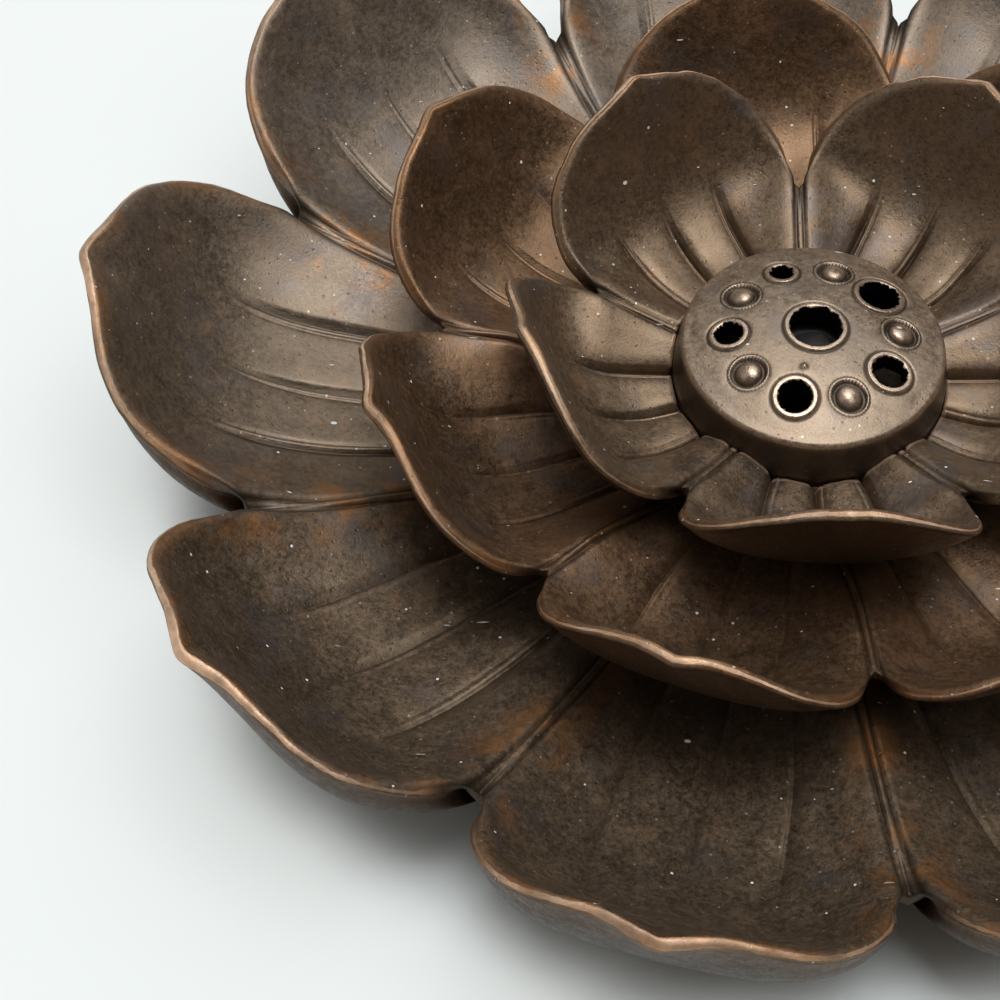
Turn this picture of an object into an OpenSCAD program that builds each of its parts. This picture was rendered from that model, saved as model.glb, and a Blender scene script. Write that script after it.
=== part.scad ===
// Lotus incense burner: three cast tiers of petals stacked on one centre screw,
// with a perforated seed pod that lifts out of the upper tier.
// Z is up, the centre screw lies on the Z axis and the rubber pads stand on z = 0.

/* [Stack] */
// Height of the lower tier's floor above the surface it stands on
lower_floor_z = 5.8; // [5.5:0.1:9]
// Height of the middle tier's floor above the lower tier's floor
middle_lift = 3.9; // [3.8:0.1:7]
// Height of the upper tier's floor above the middle tier's floor
upper_lift = 2.6; // [2.5:0.1:6]
// Diameter of the centre screw's shank
screw_d = 4; // [3:0.5:5]
// Radial gap between the shank and the tiers that turn on it
turning_gap = 0.05; // [0.02:0.01:0.1]

/* [Lower petals] */
// Number of petals in the lower tier
lower_count = 9; // [7:1:11]
// Radius of the flat hub that the petals grow from
lower_hub_r = 20; // [17:0.5:22]
// Radius from which the petal's floor climbs to its rim
lower_bowl_r = 30; // [26:0.5:33]
// Radius at which the seam's first, steep rise ends
lower_seam_r = 31.6; // [28:0.2:36]
// Radius of the notch between two petals
lower_notch_r = 47.4; // [44:0.2:50]
// Radius of the petal's broad end, without its point
lower_shoulder_r = 57.4; // [55:0.1:60]
// Length of the drawn-out point
lower_point = 2.1; // [0.5:0.1:3]
// Height of the notch above the tier's floor
lower_notch_rise = 4.2; // [3:0.1:6]
// Height of the rim at the petal's end above the tier's floor
lower_rim_rise = 16.4; // [10:0.1:20]
// Swell of the petal between two veins
lower_pillow = 0.3; // [0:0.05:0.6]
// Thickness of the cast wall
lower_wall = 2.8; // [2.2:0.1:2.9]
// Extra thickness of the casting just below its rim
lower_belly = 0.9; // [0:0.1:1.2]
// Turn of the tier about the screw
lower_turn = 135.7; // [0:0.1:360]

/* [Middle petals] */
// Number of petals in the middle tier
middle_count = 7; // [5:1:9]
// Radius of the flat hub that the petals grow from
middle_hub_r = 13; // [11:0.5:15]
// Radius from which the petal's floor climbs to its rim
middle_bowl_r = 22; // [19:0.5:24]
// Radius at which the seam's rise ends
middle_seam_r = 26.4; // [24:0.2:28]
// Radius of the notch between two petals
middle_notch_r = 30.2; // [28:0.2:32]
// Radius of the petal's broad end, without its point
middle_shoulder_r = 36.4; // [35:0.1:39]
// Length of the drawn-out point
middle_point = 1.1; // [0.3:0.1:2]
// Height of the notch above the tier's floor
middle_notch_rise = 4.4; // [3:0.1:5]
// Height of the rim at the petal's end above the tier's floor
middle_rim_rise = 13.4; // [9:0.1:16]
// Swell of the petal between two veins
middle_pillow = 0.3; // [0:0.05:0.6]
// Thickness of the cast wall
middle_wall = 1.5; // [1.2:0.1:1.7]
// Turn of the tier about the screw
middle_turn = 95.8; // [0:0.1:360]

/* [Upper petals] */
// Number of petals in the upper tier
upper_count = 5; // [4:1:7]
// Radius of the notch between two petals
upper_notch_r = 18.05; // [17:0.05:19]
// Radius of the petal's broad end, without its point
upper_shoulder_r = 24.3; // [23:0.1:26]
// Length of the drawn-out point
upper_point = 0.8; // [0.2:0.1:1.6]
// Height of the notch above the tier's floor
upper_notch_rise = 4.1; // [3:0.1:5]
// Height of the rim at the petal's end above the tier's floor
upper_rim_rise = 14.3; // [10:0.1:17]
// Swell of the petal between two veins
upper_pillow = 0.8; // [0:0.05:1]
// Thickness of the cast wall
upper_wall = 1.3; // [1.1:0.1:1.4]
// Turn of the tier about the screw
upper_turn = 54; // [0:0.1:360]

/* [Petal casting] */
// Thickness of the rolled rim
rim_t = 1.0; // [0.8:0.1:1.2]
// Depth of the veins
vein_depth = 0.4; // [0.1:0.05:0.6]
// Height by which a hub stands proud of the petals' floor
hub_proud = 0.3; // [0.2:0.1:0.5]

/* [Seed pod] */
// Radius of the pod's skirt
pod_r = 11.3; // [10.6:0.1:11.6]
// Height from the pod's seat to the crown of its top
pod_h = 7.0; // [6.6:0.1:9]
// Wall of the hollow pod
pod_wall = 1.5; // [1.2:0.1:1.7]
// Radius of the dome that forms the pod's top
pod_dome_r = 27; // [22:1:40]
// Height of the cylindrical skirt that seats in the socket
skirt_h = 2.0; // [1.5:0.1:2.5]
// Radial gap between the skirt and its socket
pod_gap = 0.1; // [0.05:0.01:0.2]
// Radius of the ring on which the seeds and the outer stick holes lie
seed_ring_r = 7.05; // [6.6:0.05:7.3]
// Diameter of the centre stick hole
centre_hole_d = 4.4; // [3:0.1:4.8]
// Turn of the pod in its socket
pod_turn = 253.3; // [0:0.1:360]
// Diameter of the first outer stick hole
ring_hole_1_d = 2.9; // [1.8:0.05:3.6]
// Diameter of the second outer stick hole, counter-clockwise
ring_hole_2_d = 3.0; // [1.8:0.05:3.6]
// Diameter of the third outer stick hole
ring_hole_3_d = 3.5; // [1.8:0.05:3.6]
// Diameter of the fourth outer stick hole
ring_hole_4_d = 2.05; // [1.8:0.05:3.6]
// Diameter of the fifth outer stick hole
ring_hole_5_d = 2.4; // [1.8:0.05:3.6]
// Diameter of the blind seeds between the outer holes
seed_d = 2.2; // [1.6:0.1:2.4]
// Height of the raised lip round each hole
lip_h = 0.22; // [0.1:0.02:0.35]

/* [Fasteners and feet] */
// Diameter of the screw's head
head_d = 8; // [7:0.5:9]
// Height of the screw's head
head_h = 1.9; // [1.5:0.1:2.1]
// Thickness of the flat washer under the head
washer_t = 0.5; // [0.4:0.1:0.6]
// Thickness of the spring washer that keeps the tiers from swinging freely
spring_t = 0.8; // [0.6:0.1:1]
// Height of the hexagon nut
nut_h = 3.0; // [2.2:0.1:3.2]
// Size of the nut across its flats
nut_af = 7; // [6:0.5:8]
// Diameter of each rubber pad
pad_d = 9; // [7:0.5:12]
// Thickness of each rubber pad
pad_t = 1.6; // [1:0.1:2.4]
// Distance of the pads from the screw's axis
pad_ring_r = 27; // [22:1:32]
// Diameter of the collars between the tiers
collar_d = 15; // [12:0.5:18]

/* [Hidden] */

bronze = [0.27, 0.20, 0.16];
steel = [0.62, 0.61, 0.58];
rubber = [0.07, 0.07, 0.07];

round_fn = 96;
small_fn = 48;
over = 1;

middle_floor_z = lower_floor_z + middle_lift;
upper_floor_z = middle_floor_z + upper_lift;
lower_under_z = lower_floor_z - lower_wall;
middle_under_z = middle_floor_z - middle_wall;
upper_under_z = upper_floor_z - upper_wall;
bore_r = screw_d / 2 + turning_gap;
washer_gap = 0.15;
clear_r = screw_d / 2 + washer_gap;
nut_z = upper_floor_z + spring_t;
thread_proud = 0.6;
slot_w = 1;
washer_edge = 1;
spring_edge = 0.4;
split_w = 0.6;
boss_edge = 0.5;
screw_top_z = nut_z + nut_h + thread_proud;
socket_r = pod_r + pod_gap;
pad_count = 3;

// The petals of one tier are described by this list, read by the functions below it.
// The exponents shape the outline: how full the shoulders are, how the notch closes,
// how the rim climbs from the notch to the petal's end, and how late the bowl climbs.
function tier(count, inner_r, bowl_r, notch_r, shoulder_r, point, point_w, full, close,
              climb, climb_end, floor_z, seam_r, seam_rise, notch_rise, rim_rise, steep,
              wall, pillow, belly) =
    [count, inner_r, bowl_r, notch_r, shoulder_r, point, point_w, full, close,
     climb, climb_end, floor_z, seam_r, seam_rise, notch_rise, rim_rise, steep, wall,
     pillow, belly];
function t_count(t) = t[0];
function t_inner_r(t) = t[1];
function t_bowl_r(t) = t[2];
function t_notch_r(t) = t[3];
function t_shoulder_r(t) = t[4];
function t_point(t) = t[5];
function t_point_w(t) = t[6];
function t_full(t) = t[7];
function t_close(t) = t[8];
function t_climb(t) = t[9];
function t_climb_end(t) = t[10];
function t_floor_z(t) = t[11];
function t_seam_r(t) = t[12];
function t_seam_rise(t) = t[13];
function t_notch_rise(t) = t[14];
function t_rim_rise(t) = t[15];
function t_steep(t) = t[16];
function t_wall(t) = t[17];
function t_pillow(t) = t[18];
function t_belly(t) = t[19];

// The petals reach this far into their hub, and the upper ones into the socket's floor
hub_lap = 1;
socket_lap = 0.6;

lower = tier(count = lower_count, inner_r = lower_hub_r - hub_lap, bowl_r = lower_bowl_r,
             notch_r = lower_notch_r, shoulder_r = lower_shoulder_r, point = lower_point,
             point_w = 0.14, full = 4.5, close = 1.6, climb = 1.64, climb_end = 0.8,
             floor_z = lower_floor_z, seam_r = lower_seam_r, seam_rise = 0.5,
             notch_rise = lower_notch_rise, rim_rise = lower_rim_rise, steep = 4.3,
             wall = lower_wall, pillow = lower_pillow, belly = lower_belly);
middle = tier(count = middle_count, inner_r = middle_hub_r - hub_lap,
              bowl_r = middle_bowl_r, notch_r = middle_notch_r,
              shoulder_r = middle_shoulder_r, point = middle_point, point_w = 0.1,
              full = 4.1, close = 1.1, climb = 1.87, climb_end = 1.28,
              floor_z = middle_floor_z, seam_r = middle_seam_r, seam_rise = 1,
              notch_rise = middle_notch_rise, rim_rise = middle_rim_rise, steep = 3.4,
              wall = middle_wall, pillow = middle_pillow, belly = 0);
upper = tier(count = upper_count, inner_r = socket_r - socket_lap,
             bowl_r = socket_r - socket_lap / 2, notch_r = upper_notch_r,
             shoulder_r = upper_shoulder_r, point = upper_point, point_w = 0.08,
             full = 6.3, close = 1.35, climb = 1.9, climb_end = 1.14,
             floor_z = upper_floor_z, seam_r = socket_r - socket_lap / 2,
             seam_rise = 0.55, notch_rise = upper_notch_rise, rim_rise = upper_rim_rise,
             steep = 3.4, wall = upper_wall, pillow = upper_pillow, belly = 0);

function clamp01(x) = min(1, max(0, x));
function smooth(x) = let (s = clamp01(x)) s * s * (3 - 2 * s);

// w runs from -1 at one seam over 0 at the midrib to 1 at the next seam
function folded(w) = abs(w) > 1 ? 2 - abs(w) : abs(w);
function lobe(w, full, close) = pow(1 - pow(w, full), close);

function rim_r(t, w) =
    t_notch_r(t) + (t_shoulder_r(t) - t_notch_r(t)) * lobe(w, t_full(t), t_close(t))
    + t_point(t) * exp(-pow(w / t_point_w(t), point_form));
function rim_z(t, w) =
    t_floor_z(t) + t_notch_rise(t)
    + (t_rim_rise(t) - t_notch_rise(t)) * lobe(w, t_climb(t), t_climb_end(t));

// The seam rises from the hub, then runs on a gentler slope to the notch
function seam_rise(t, r) =
    let (near = t_seam_rise(t) * t_notch_rise(t) * smooth((r - t_inner_r(t))
                / max(0.1, t_seam_r(t) - t_inner_r(t))),
         far = (1 - t_seam_rise(t)) * t_notch_rise(t)
               * clamp01((r - t_seam_r(t)) / (t_notch_r(t) - t_seam_r(t))))
    near + far;
function bed_z(t, r, w) = t_floor_z(t) + seam_rise(t, r) * pow(w, seam_form);

// A point of the petals' inner face: u runs from 0 at the hub to 1 at the rim
function face_point(t, u, w) =
    let (v = folded(w),
         r_end = rim_r(t, v),
         r = t_inner_r(t) + u * (r_end - t_inner_r(t)),
         lift = rim_z(t, v) - bed_z(t, r_end, v),
         bowl = pow(clamp01((r - t_bowl_r(t)) / (r_end - t_bowl_r(t))), t_steep(t)),
         a = w * 180 / t_count(t))
    [r * cos(a), r * sin(a), bed_z(t, r, v) + lift * bowl];

function unit(v) = v / norm(v);
function face_normal(t, u, w) =
    let (du = 0.01, dw = 0.02,
         along = face_point(t, u, w) - face_point(t, u - du, w),
         across = face_point(t, u, w + dw) - face_point(t, u, w - dw))
    unit(cross(along, across));

// The wall is thinned to the rolled rim and may swell just below it
function thickness(t, u) =
    t_wall(t) + (rim_t - t_wall(t)) * pow(u, taper)
    + t_belly(t) * smooth((u - belly_from) / (belly_full - belly_from)) * (1 - pow(u, taper));

// The outer face lies one wall below the inner face and stays inside its own sector
function back_point(t, u, w) =
    let (p = face_point(t, u, w) - thickness(t, u) * face_normal(t, u, w),
         reach = 180 / t_count(t) * (1 - sector_ease * (1 - folded(w))),
         a = min(reach, max(-reach, atan2(p.y, p.x))),
         r = norm([p.x, p.y]))
    [r * cos(a), r * sin(a), u == 0 ? t_floor_z(t) - t_wall(t) : p.z];

// The rolled rim stands a little proud of the line between the two faces
function roll_point(t, w) =
    let (in_p = face_point(t, 1, w), out_p = back_point(t, 1, w),
         along = unit(in_p - face_point(t, near_rim, w)))
    (in_p + out_p) / 2 + along * rim_t * roll;

point_form = 1.2;
seam_form = 2.2;
taper = 12;
belly_from = 0.5;
belly_full = 0.8;
sector_ease = 0.4;
near_rim = 0.97;
roll = 0.35;
vein_w = 0.055;
vein_gap = 0.5;
vein_end = 0.74;
vein_fade = 0.3;
columns = [-1, -0.96, -0.88, -0.72, -0.555, -0.5, -0.445, -0.3, -0.15, -0.055, 0,
           0.055, 0.15, 0.3, 0.445, 0.5, 0.555, 0.72, 0.88, 0.96];
face_rows = [0, 0.25, 0.45, 0.6, 0.72, 0.82, 0.9, 0.96, 1];
back_rows = [1, 0.95, 0.85, 0.68, 0.4, 0];

// The veins lie on the midrib and halfway to each seam. Between them the face swells,
// and both fade towards the rim.
function to_vein(w) = abs(w) > 1.5 * vein_gap ? 1 : min(abs(w), abs(abs(w) - vein_gap));
function swell(t, w) =
    t_pillow(t) * (1 - pow(2 * (folded(w) % vein_gap) / vein_gap - 1, 2));
function relief(t, u, w) =
    smooth((vein_end - u) / vein_fade)
    * (swell(t, w) - vein_depth * max(0, 1 - to_vein(w) / vein_w));

function petal_column(t, w, turn) =
    let (raw = concat([for (u = face_rows) face_point(t, u, w) + [0, 0, relief(t, u, w)]],
                      [roll_point(t, w)],
                      [for (u = back_rows) back_point(t, u, w)]))
    [for (p = raw) [p.x * cos(turn) - p.y * sin(turn),
                    p.x * sin(turn) + p.y * cos(turn), p.z]];

// One closed shell round the axis, with a loop of points for each column
module petal_ring(t) {
    loops = [for (k = [0 : t_count(t) - 1], w = columns)
                 petal_column(t, w, k * 360 / t_count(t))];
    n = len(loops);
    m = len(loops[0]);
    points = [for (l = loops, p = l) p];
    faces = [for (i = [0 : n - 1], j = [0 : m - 1])
                 let (i2 = (i + 1) % n, j2 = (j + 1) % m)
                 each [[i * m + j, i2 * m + j, i2 * m + j2],
                       [i * m + j, i2 * m + j2, i * m + j2]]];
    polyhedron(points, faces);
}

module ring(outer_r, inner_r, z, h) {
    translate([0, 0, z])
        difference() {
            cylinder(r = outer_r, h = h, $fn = round_fn);
            translate([0, 0, -over])
                cylinder(r = inner_r, h = h + 2 * over, $fn = small_fn);
        }
}

module at_pads() {
    for (i = [0 : pad_count - 1])
        rotate(i * 360 / pad_count + 90) translate([pad_ring_r, 0, 0]) children();
}

// A round hub that stands proud of the petals' floor, before it is bored for the screw
module hub(hub_r, under_z, h) {
    translate([0, 0, under_z]) cylinder(r = hub_r, h = h, $fn = round_fn);
}

module screw_bore(r, floor_z) {
    translate([0, 0, floor_z - lower_floor_z]) cylinder(r = r, h = 2 * lower_floor_z, $fn = small_fn);
}

module lower_petals() {
    color(bronze) difference() {
        union() {
            rotate(lower_turn) petal_ring(lower);
            hub(lower_hub_r, lower_under_z, lower_wall + hub_proud);
            at_pads() translate([0, 0, pad_t])
                cylinder(d = pad_d + 2 * boss_edge, h = lower_floor_z - lower_wall / 2 - pad_t,
                         $fn = small_fn);
        }
        screw_bore(clear_r, lower_floor_z);
    }
}

module middle_petals() {
    color(bronze) difference() {
        union() {
            rotate(middle_turn) petal_ring(middle);
            hub(middle_hub_r, middle_under_z, middle_wall + hub_proud);
        }
        screw_bore(bore_r, middle_floor_z);
    }
}

module upper_petals() {
    color(bronze) difference() {
        union() {
            rotate(upper_turn) petal_ring(upper);
            hub(socket_r - socket_lap / 3, upper_under_z, upper_wall);
        }
        screw_bore(bore_r, upper_floor_z);
        translate([0, 0, upper_floor_z]) cylinder(r = socket_r, h = pod_h, $fn = round_fn);
    }
}

// The pod's outline from its crown to its seat: a dome, a rounded edge, a sloping
// side and a straight skirt. The same outline, drawn in by the wall, is its hollow.
pod_top_z = upper_floor_z + pod_h;
side_draft = 0.7;
pod_edge_r = pod_r - side_draft;
pod_edge_round = 1.5;
crown_steps = 6;
edge_step = 18;
function dome_z(r, rise) = pod_top_z + rise - pod_dome_r
    + sqrt(pod_dome_r * pod_dome_r - r * r);
function pod_outline(inset) =
    let (edge_r = pod_edge_r - inset,
         turn_r = edge_r - pod_edge_round,
         turn_z = dome_z(turn_r, -inset) - pod_edge_round)
    concat([for (i = [0 : crown_steps]) let (r = turn_r * i / crown_steps)
                [r, dome_z(r, -inset)]],
           [for (a = [90 - edge_step : -edge_step : 0])
                [turn_r + pod_edge_round * cos(a), turn_z + pod_edge_round * sin(a)]],
           [[pod_r - inset, upper_floor_z + skirt_h]]);

module pod_solid(inset, foot_z) {
    outline = pod_outline(inset);
    rotate_extrude($fn = round_fn)
        polygon(concat(outline, [[pod_r - inset, foot_z], [0, foot_z]]));
}

// Everything inside radius r that lies under the dome raised by rise
module under_dome(r, at_r, at_a, rise) {
    intersection() {
        rotate(at_a) translate([at_r, 0, upper_floor_z + skirt_h])
            cylinder(r = r, h = pod_h, $fn = small_fn);
        translate([0, 0, pod_top_z + rise - pod_dome_r])
            sphere(r = pod_dome_r, $fn = round_fn);
    }
}

module stick_hole(d, at_r, at_a) {
    rotate(at_a) translate([at_r, 0, upper_floor_z + skirt_h])
        cylinder(d = d, h = pod_h, $fn = small_fn);
}

ring_hole_d = [ring_hole_1_d, ring_hole_2_d, ring_hole_3_d, ring_hole_4_d, ring_hole_5_d];
seed_step = 180 / len(ring_hole_d);
function hole_angle(i) = pod_turn + 2 * seed_step * i;
function seed_angle(i) = hole_angle(i) + seed_step;
seed_groove_w = 0.5;
seed_groove_t = 0.3;
lip_w = 0.5;

// A blind seed is a low boss in a ring groove
module seed_groove(at_a) {
    difference() {
        rotate(at_a) translate([seed_ring_r, 0, upper_floor_z + skirt_h])
            cylinder(r = seed_d / 2 + seed_groove_w, h = pod_h, $fn = small_fn);
        rotate(at_a) translate([seed_ring_r, 0, upper_floor_z + skirt_h - over])
            cylinder(r = seed_d / 2, h = pod_h + 2 * over, $fn = small_fn);
        translate([0, 0, pod_top_z - seed_groove_t - pod_dome_r])
            sphere(r = pod_dome_r, $fn = round_fn);
    }
}

module seed_pod() {
    n = len(ring_hole_d);
    color(bronze) difference() {
        union() {
            pod_solid(0, upper_floor_z);
            under_dome(centre_hole_d / 2 + lip_w, 0, 0, lip_h);
            for (i = [0 : n - 1]) {
                under_dome(ring_hole_d[i] / 2 + lip_w, seed_ring_r, hole_angle(i), lip_h);
                under_dome(seed_d / 2, seed_ring_r, seed_angle(i), lip_h);
            }
        }
        pod_solid(pod_wall, upper_floor_z - over);
        stick_hole(centre_hole_d, 0, 0);
        for (i = [0 : n - 1]) {
            stick_hole(ring_hole_d[i], seed_ring_r, hole_angle(i));
            seed_groove(seed_angle(i));
        }
    }
}

module collar(from_z, to_z) {
    color(bronze) ring(collar_d / 2, clear_r, from_z, to_z - from_z);
}

module lower_collar() {
    collar(lower_floor_z + hub_proud, middle_under_z);
}

module upper_collar() {
    collar(middle_floor_z + hub_proud, upper_under_z);
}

module centre_screw() {
    head_z = lower_under_z - washer_t - head_h;
    color(steel) difference() {
        union() {
            translate([0, 0, head_z]) cylinder(d = head_d, h = head_h, $fn = small_fn);
            translate([0, 0, head_z])
                cylinder(d = screw_d, h = screw_top_z - head_z, $fn = small_fn);
        }
        translate([-head_d, -slot_w / 2, head_z - over])
            cube([2 * head_d, slot_w, over + head_h / 2]);
    }
}

module screw_washer() {
    color(steel) ring(head_d / 2 + washer_edge, clear_r, lower_under_z - washer_t, washer_t);
}

// A split ring, flat as the nut clamps it
module spring_washer() {
    color(steel) difference() {
        ring(nut_af / 2 + spring_edge, clear_r, upper_floor_z, spring_t);
        translate([0, -split_w / 2, upper_floor_z - over])
            cube([nut_af, split_w, spring_t + 2 * over]);
    }
}

module centre_nut() {
    color(steel) translate([0, 0, nut_z]) difference() {
        cylinder(r = nut_af / sqrt(3), h = nut_h, $fn = 6);
        translate([0, 0, -over]) cylinder(d = screw_d, h = nut_h + 2 * over, $fn = small_fn);
    }
}

module foot_pad(i) {
    color(rubber) rotate(i * 360 / pad_count + 90) translate([pad_ring_r, 0, 0])
        cylinder(d = pad_d, h = pad_t, $fn = small_fn);
}

lower_petals();
middle_petals();
upper_petals();
seed_pod();
lower_collar();
upper_collar();
centre_screw();
screw_washer();
spring_washer();
centre_nut();
foot_pad(0);  // foot_pad_1
foot_pad(1);  // foot_pad_2
foot_pad(2);  // foot_pad_3
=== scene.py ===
"""Dresses the lotus incense burner: cast petal tiers, seed pod, fasteners, pads and a plain studio.

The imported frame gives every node's place. Each casting is modelled again here as one smooth
skin with veins, lips and a rolled rim, and stands for its plain solid.
"""

import logging
import math
from dataclasses import dataclass, field
from enum import Enum
from typing import Any, Callable, ClassVar, Sequence

import bpy
import numpy as np
from mathutils import Matrix, Vector
from mathutils.geometry import delaunay_2d_cdt


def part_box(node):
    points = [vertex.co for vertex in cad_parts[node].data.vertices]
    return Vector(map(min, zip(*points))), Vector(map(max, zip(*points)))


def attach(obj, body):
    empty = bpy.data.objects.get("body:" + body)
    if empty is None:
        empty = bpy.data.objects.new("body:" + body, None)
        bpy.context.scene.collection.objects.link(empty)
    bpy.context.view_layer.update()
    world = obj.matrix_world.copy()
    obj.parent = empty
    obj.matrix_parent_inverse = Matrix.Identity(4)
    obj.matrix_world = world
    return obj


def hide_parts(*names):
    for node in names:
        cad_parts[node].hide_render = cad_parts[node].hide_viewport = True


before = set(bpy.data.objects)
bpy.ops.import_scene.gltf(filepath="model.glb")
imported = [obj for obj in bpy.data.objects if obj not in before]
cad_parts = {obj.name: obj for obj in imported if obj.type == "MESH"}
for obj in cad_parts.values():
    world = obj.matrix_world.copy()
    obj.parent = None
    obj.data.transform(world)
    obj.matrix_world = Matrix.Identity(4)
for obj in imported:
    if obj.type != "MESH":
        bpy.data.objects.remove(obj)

LOG = logging.getLogger("incense_burner")
MM = 0.001

Array = np.ndarray
Colour = tuple[float, float, float]
Profile = Sequence[tuple[float, float]]
Quad = tuple[int, ...]
Socket = bpy.types.NodeSocket


class Body(Enum):
    """The bodies of the frame that pieces ride on."""

    BASE = "base"
    MIDDLE = "middle_tier"
    UPPER = "upper_tier"
    POD = "pod"


class Slot(Enum):
    """The record's material slots."""

    PETALS = "petal_bronze"
    POD = "pod_bronze"
    STEEL = "fastener_steel"
    RUBBER = "pad_rubber"


# --------------------------------------------------------------------------- small maths


def smooth(x: Array) -> Array:
    """Ease from 0 to 1 as x goes from 0 to 1, flat outside that.

    Args:
        x: Any numbers.

    Returns:
        The eased numbers.
    """
    s = np.clip(x, 0.0, 1.0)
    return s * s * (3.0 - 2.0 * s)


def bell(x: Array, half_width: float) -> Array:
    """A smooth bump of height 1 at x = 0 that is gone past about two half widths."""
    return np.exp(-((x / half_width) ** 2))


def unit(v: Array) -> Array:
    """Vectors along the last axis, scaled to length one."""
    return v / np.maximum(np.linalg.norm(v, axis=-1, keepdims=True), 1e-9)


def spread(density: Callable[[Array], Array], low: float, high: float, count: int) -> Array:
    """Places from low to high that lie closer together where the density is higher.

    Args:
        density: Gives the wanted density at each place.
        low: First place.
        high: Last place.
        count: Number of places.

    Returns:
        The places in rising order, both ends included.
    """
    fine = np.linspace(low, high, 40 * count)
    middle = 0.5 * (fine[1:] + fine[:-1])
    total = np.concatenate([[0.0], np.cumsum(density(middle))])
    return np.interp(np.linspace(0.0, total[-1], count), total, fine)


def ripple(p: Array, scale: float, seed: int, waves: int = 9) -> Array:
    """The smooth unevenness of a casting, from a few crossed waves.

    Args:
        p: Points in millimetres, with x, y and z on the last axis.
        scale: Typical wavelength in millimetres.
        seed: Chooses the waves.
        waves: Number of waves.

    Returns:
        One number per point, mostly between -1 and 1.
    """
    rng = np.random.default_rng(seed)
    total = np.zeros(p.shape[:-1])
    for _ in range(waves):
        direction = unit(rng.normal(size=3))
        k = 2.0 * math.pi / (scale * rng.uniform(0.6, 1.7))
        total = total + np.sin(p @ direction * k + rng.uniform(0.0, 2.0 * math.pi))
    return total / math.sqrt(waves)


# --------------------------------------------------------------------------- meshes


def mesh_object(name: str, points: Array, faces: Sequence[Quad]) -> bpy.types.Object:
    """Make a linked, smooth-shaded mesh object.

    Args:
        name: Name of the piece.
        points: Points in millimetres.
        faces: Indices of each face's points, counter-clockwise from outside.

    Returns:
        The new object.
    """
    mesh = bpy.data.meshes.new(name)
    mesh.from_pydata((np.asarray(points, float) * MM).tolist(), [], faces)
    mesh.shade_smooth()
    obj = bpy.data.objects.new(name, mesh)
    bpy.context.scene.collection.objects.link(obj)
    return obj


def set_attribute(obj: bpy.types.Object, name: str, values: Array) -> None:
    """Store one number per point, for the finish to read.

    Args:
        obj: The mesh object.
        name: Name of the attribute.
        values: One number per point.
    """
    layer = obj.data.attributes.new(name, "FLOAT", "POINT")
    layer.data.foreach_set("value", np.asarray(values, np.float32).ravel())


def skin_faces(loops: int, points: int, first: int = 0, open_loop: bool = False) -> list[Quad]:
    """Quads that join a closed ring of point loops, which follow each other counter-clockwise.

    Args:
        loops: Number of loops round the ring.
        points: Number of points in each loop, counted outwards over the upper side.
        first: Index of the first point.
        open_loop: Whether a loop's last point isn't joined to its first.

    Returns:
        The quads.
    """
    i = np.arange(loops)[:, None]
    j = np.arange(points - 1 if open_loop else points)[None, :]
    i2, j2 = (i + 1) % loops, (j + 1) % points
    quads = np.stack([i * points + j, i * points + j2, i2 * points + j2, i2 * points + j], -1)
    return [tuple(q) for q in (quads.reshape(-1, 4) + first).tolist()]


def revolve(profile: Profile, segments: int, at: tuple[float, float] = (0.0, 0.0)) -> tuple[Array, list[Quad]]:
    """Turn a closed outline about a vertical axis.

    Args:
        profile: Outline as (radius, height) in millimetres, counted outwards over the upper side.
        segments: Number of segments round the axis.
        at: Place of the axis.

    Returns:
        Points and faces.
    """
    outline = np.asarray(profile, float)
    a = np.arange(segments)[:, None] * 2.0 * math.pi / segments
    r, z = outline[None, :, 0], np.broadcast_to(outline[None, :, 1], (segments, len(outline)))
    points = np.stack([at[0] + r * np.cos(a), at[1] + r * np.sin(a), z], -1)
    return points.reshape(-1, 3), skin_faces(segments, len(outline))


def rounded(corners: Profile, radius: float, steps: int = 4) -> list[tuple[float, float]]:
    """Round the corners of a closed outline.

    Args:
        corners: The sharp outline.
        radius: Radius at each corner, kept under half of each side.
        steps: Number of points less one on each round.

    Returns:
        The outline with its corners eased.
    """
    p = np.asarray(corners, float)
    out: list[tuple[float, float]] = []
    for i, c in enumerate(p):
        to_last, to_next = p[i - 1] - c, p[(i + 1) % len(p)] - c
        cut = min(radius, 0.45 * np.linalg.norm(to_last), 0.45 * np.linalg.norm(to_next))
        a, b = c + cut * unit(to_last), c + cut * unit(to_next)
        for t in np.linspace(0.0, 1.0, steps + 1):
            q = (1 - t) ** 2 * a + 2 * t * (1 - t) * c + t * t * b
            out.append((float(q[0]), float(q[1])))
    return out


# --------------------------------------------------------------------------- petals


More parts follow.
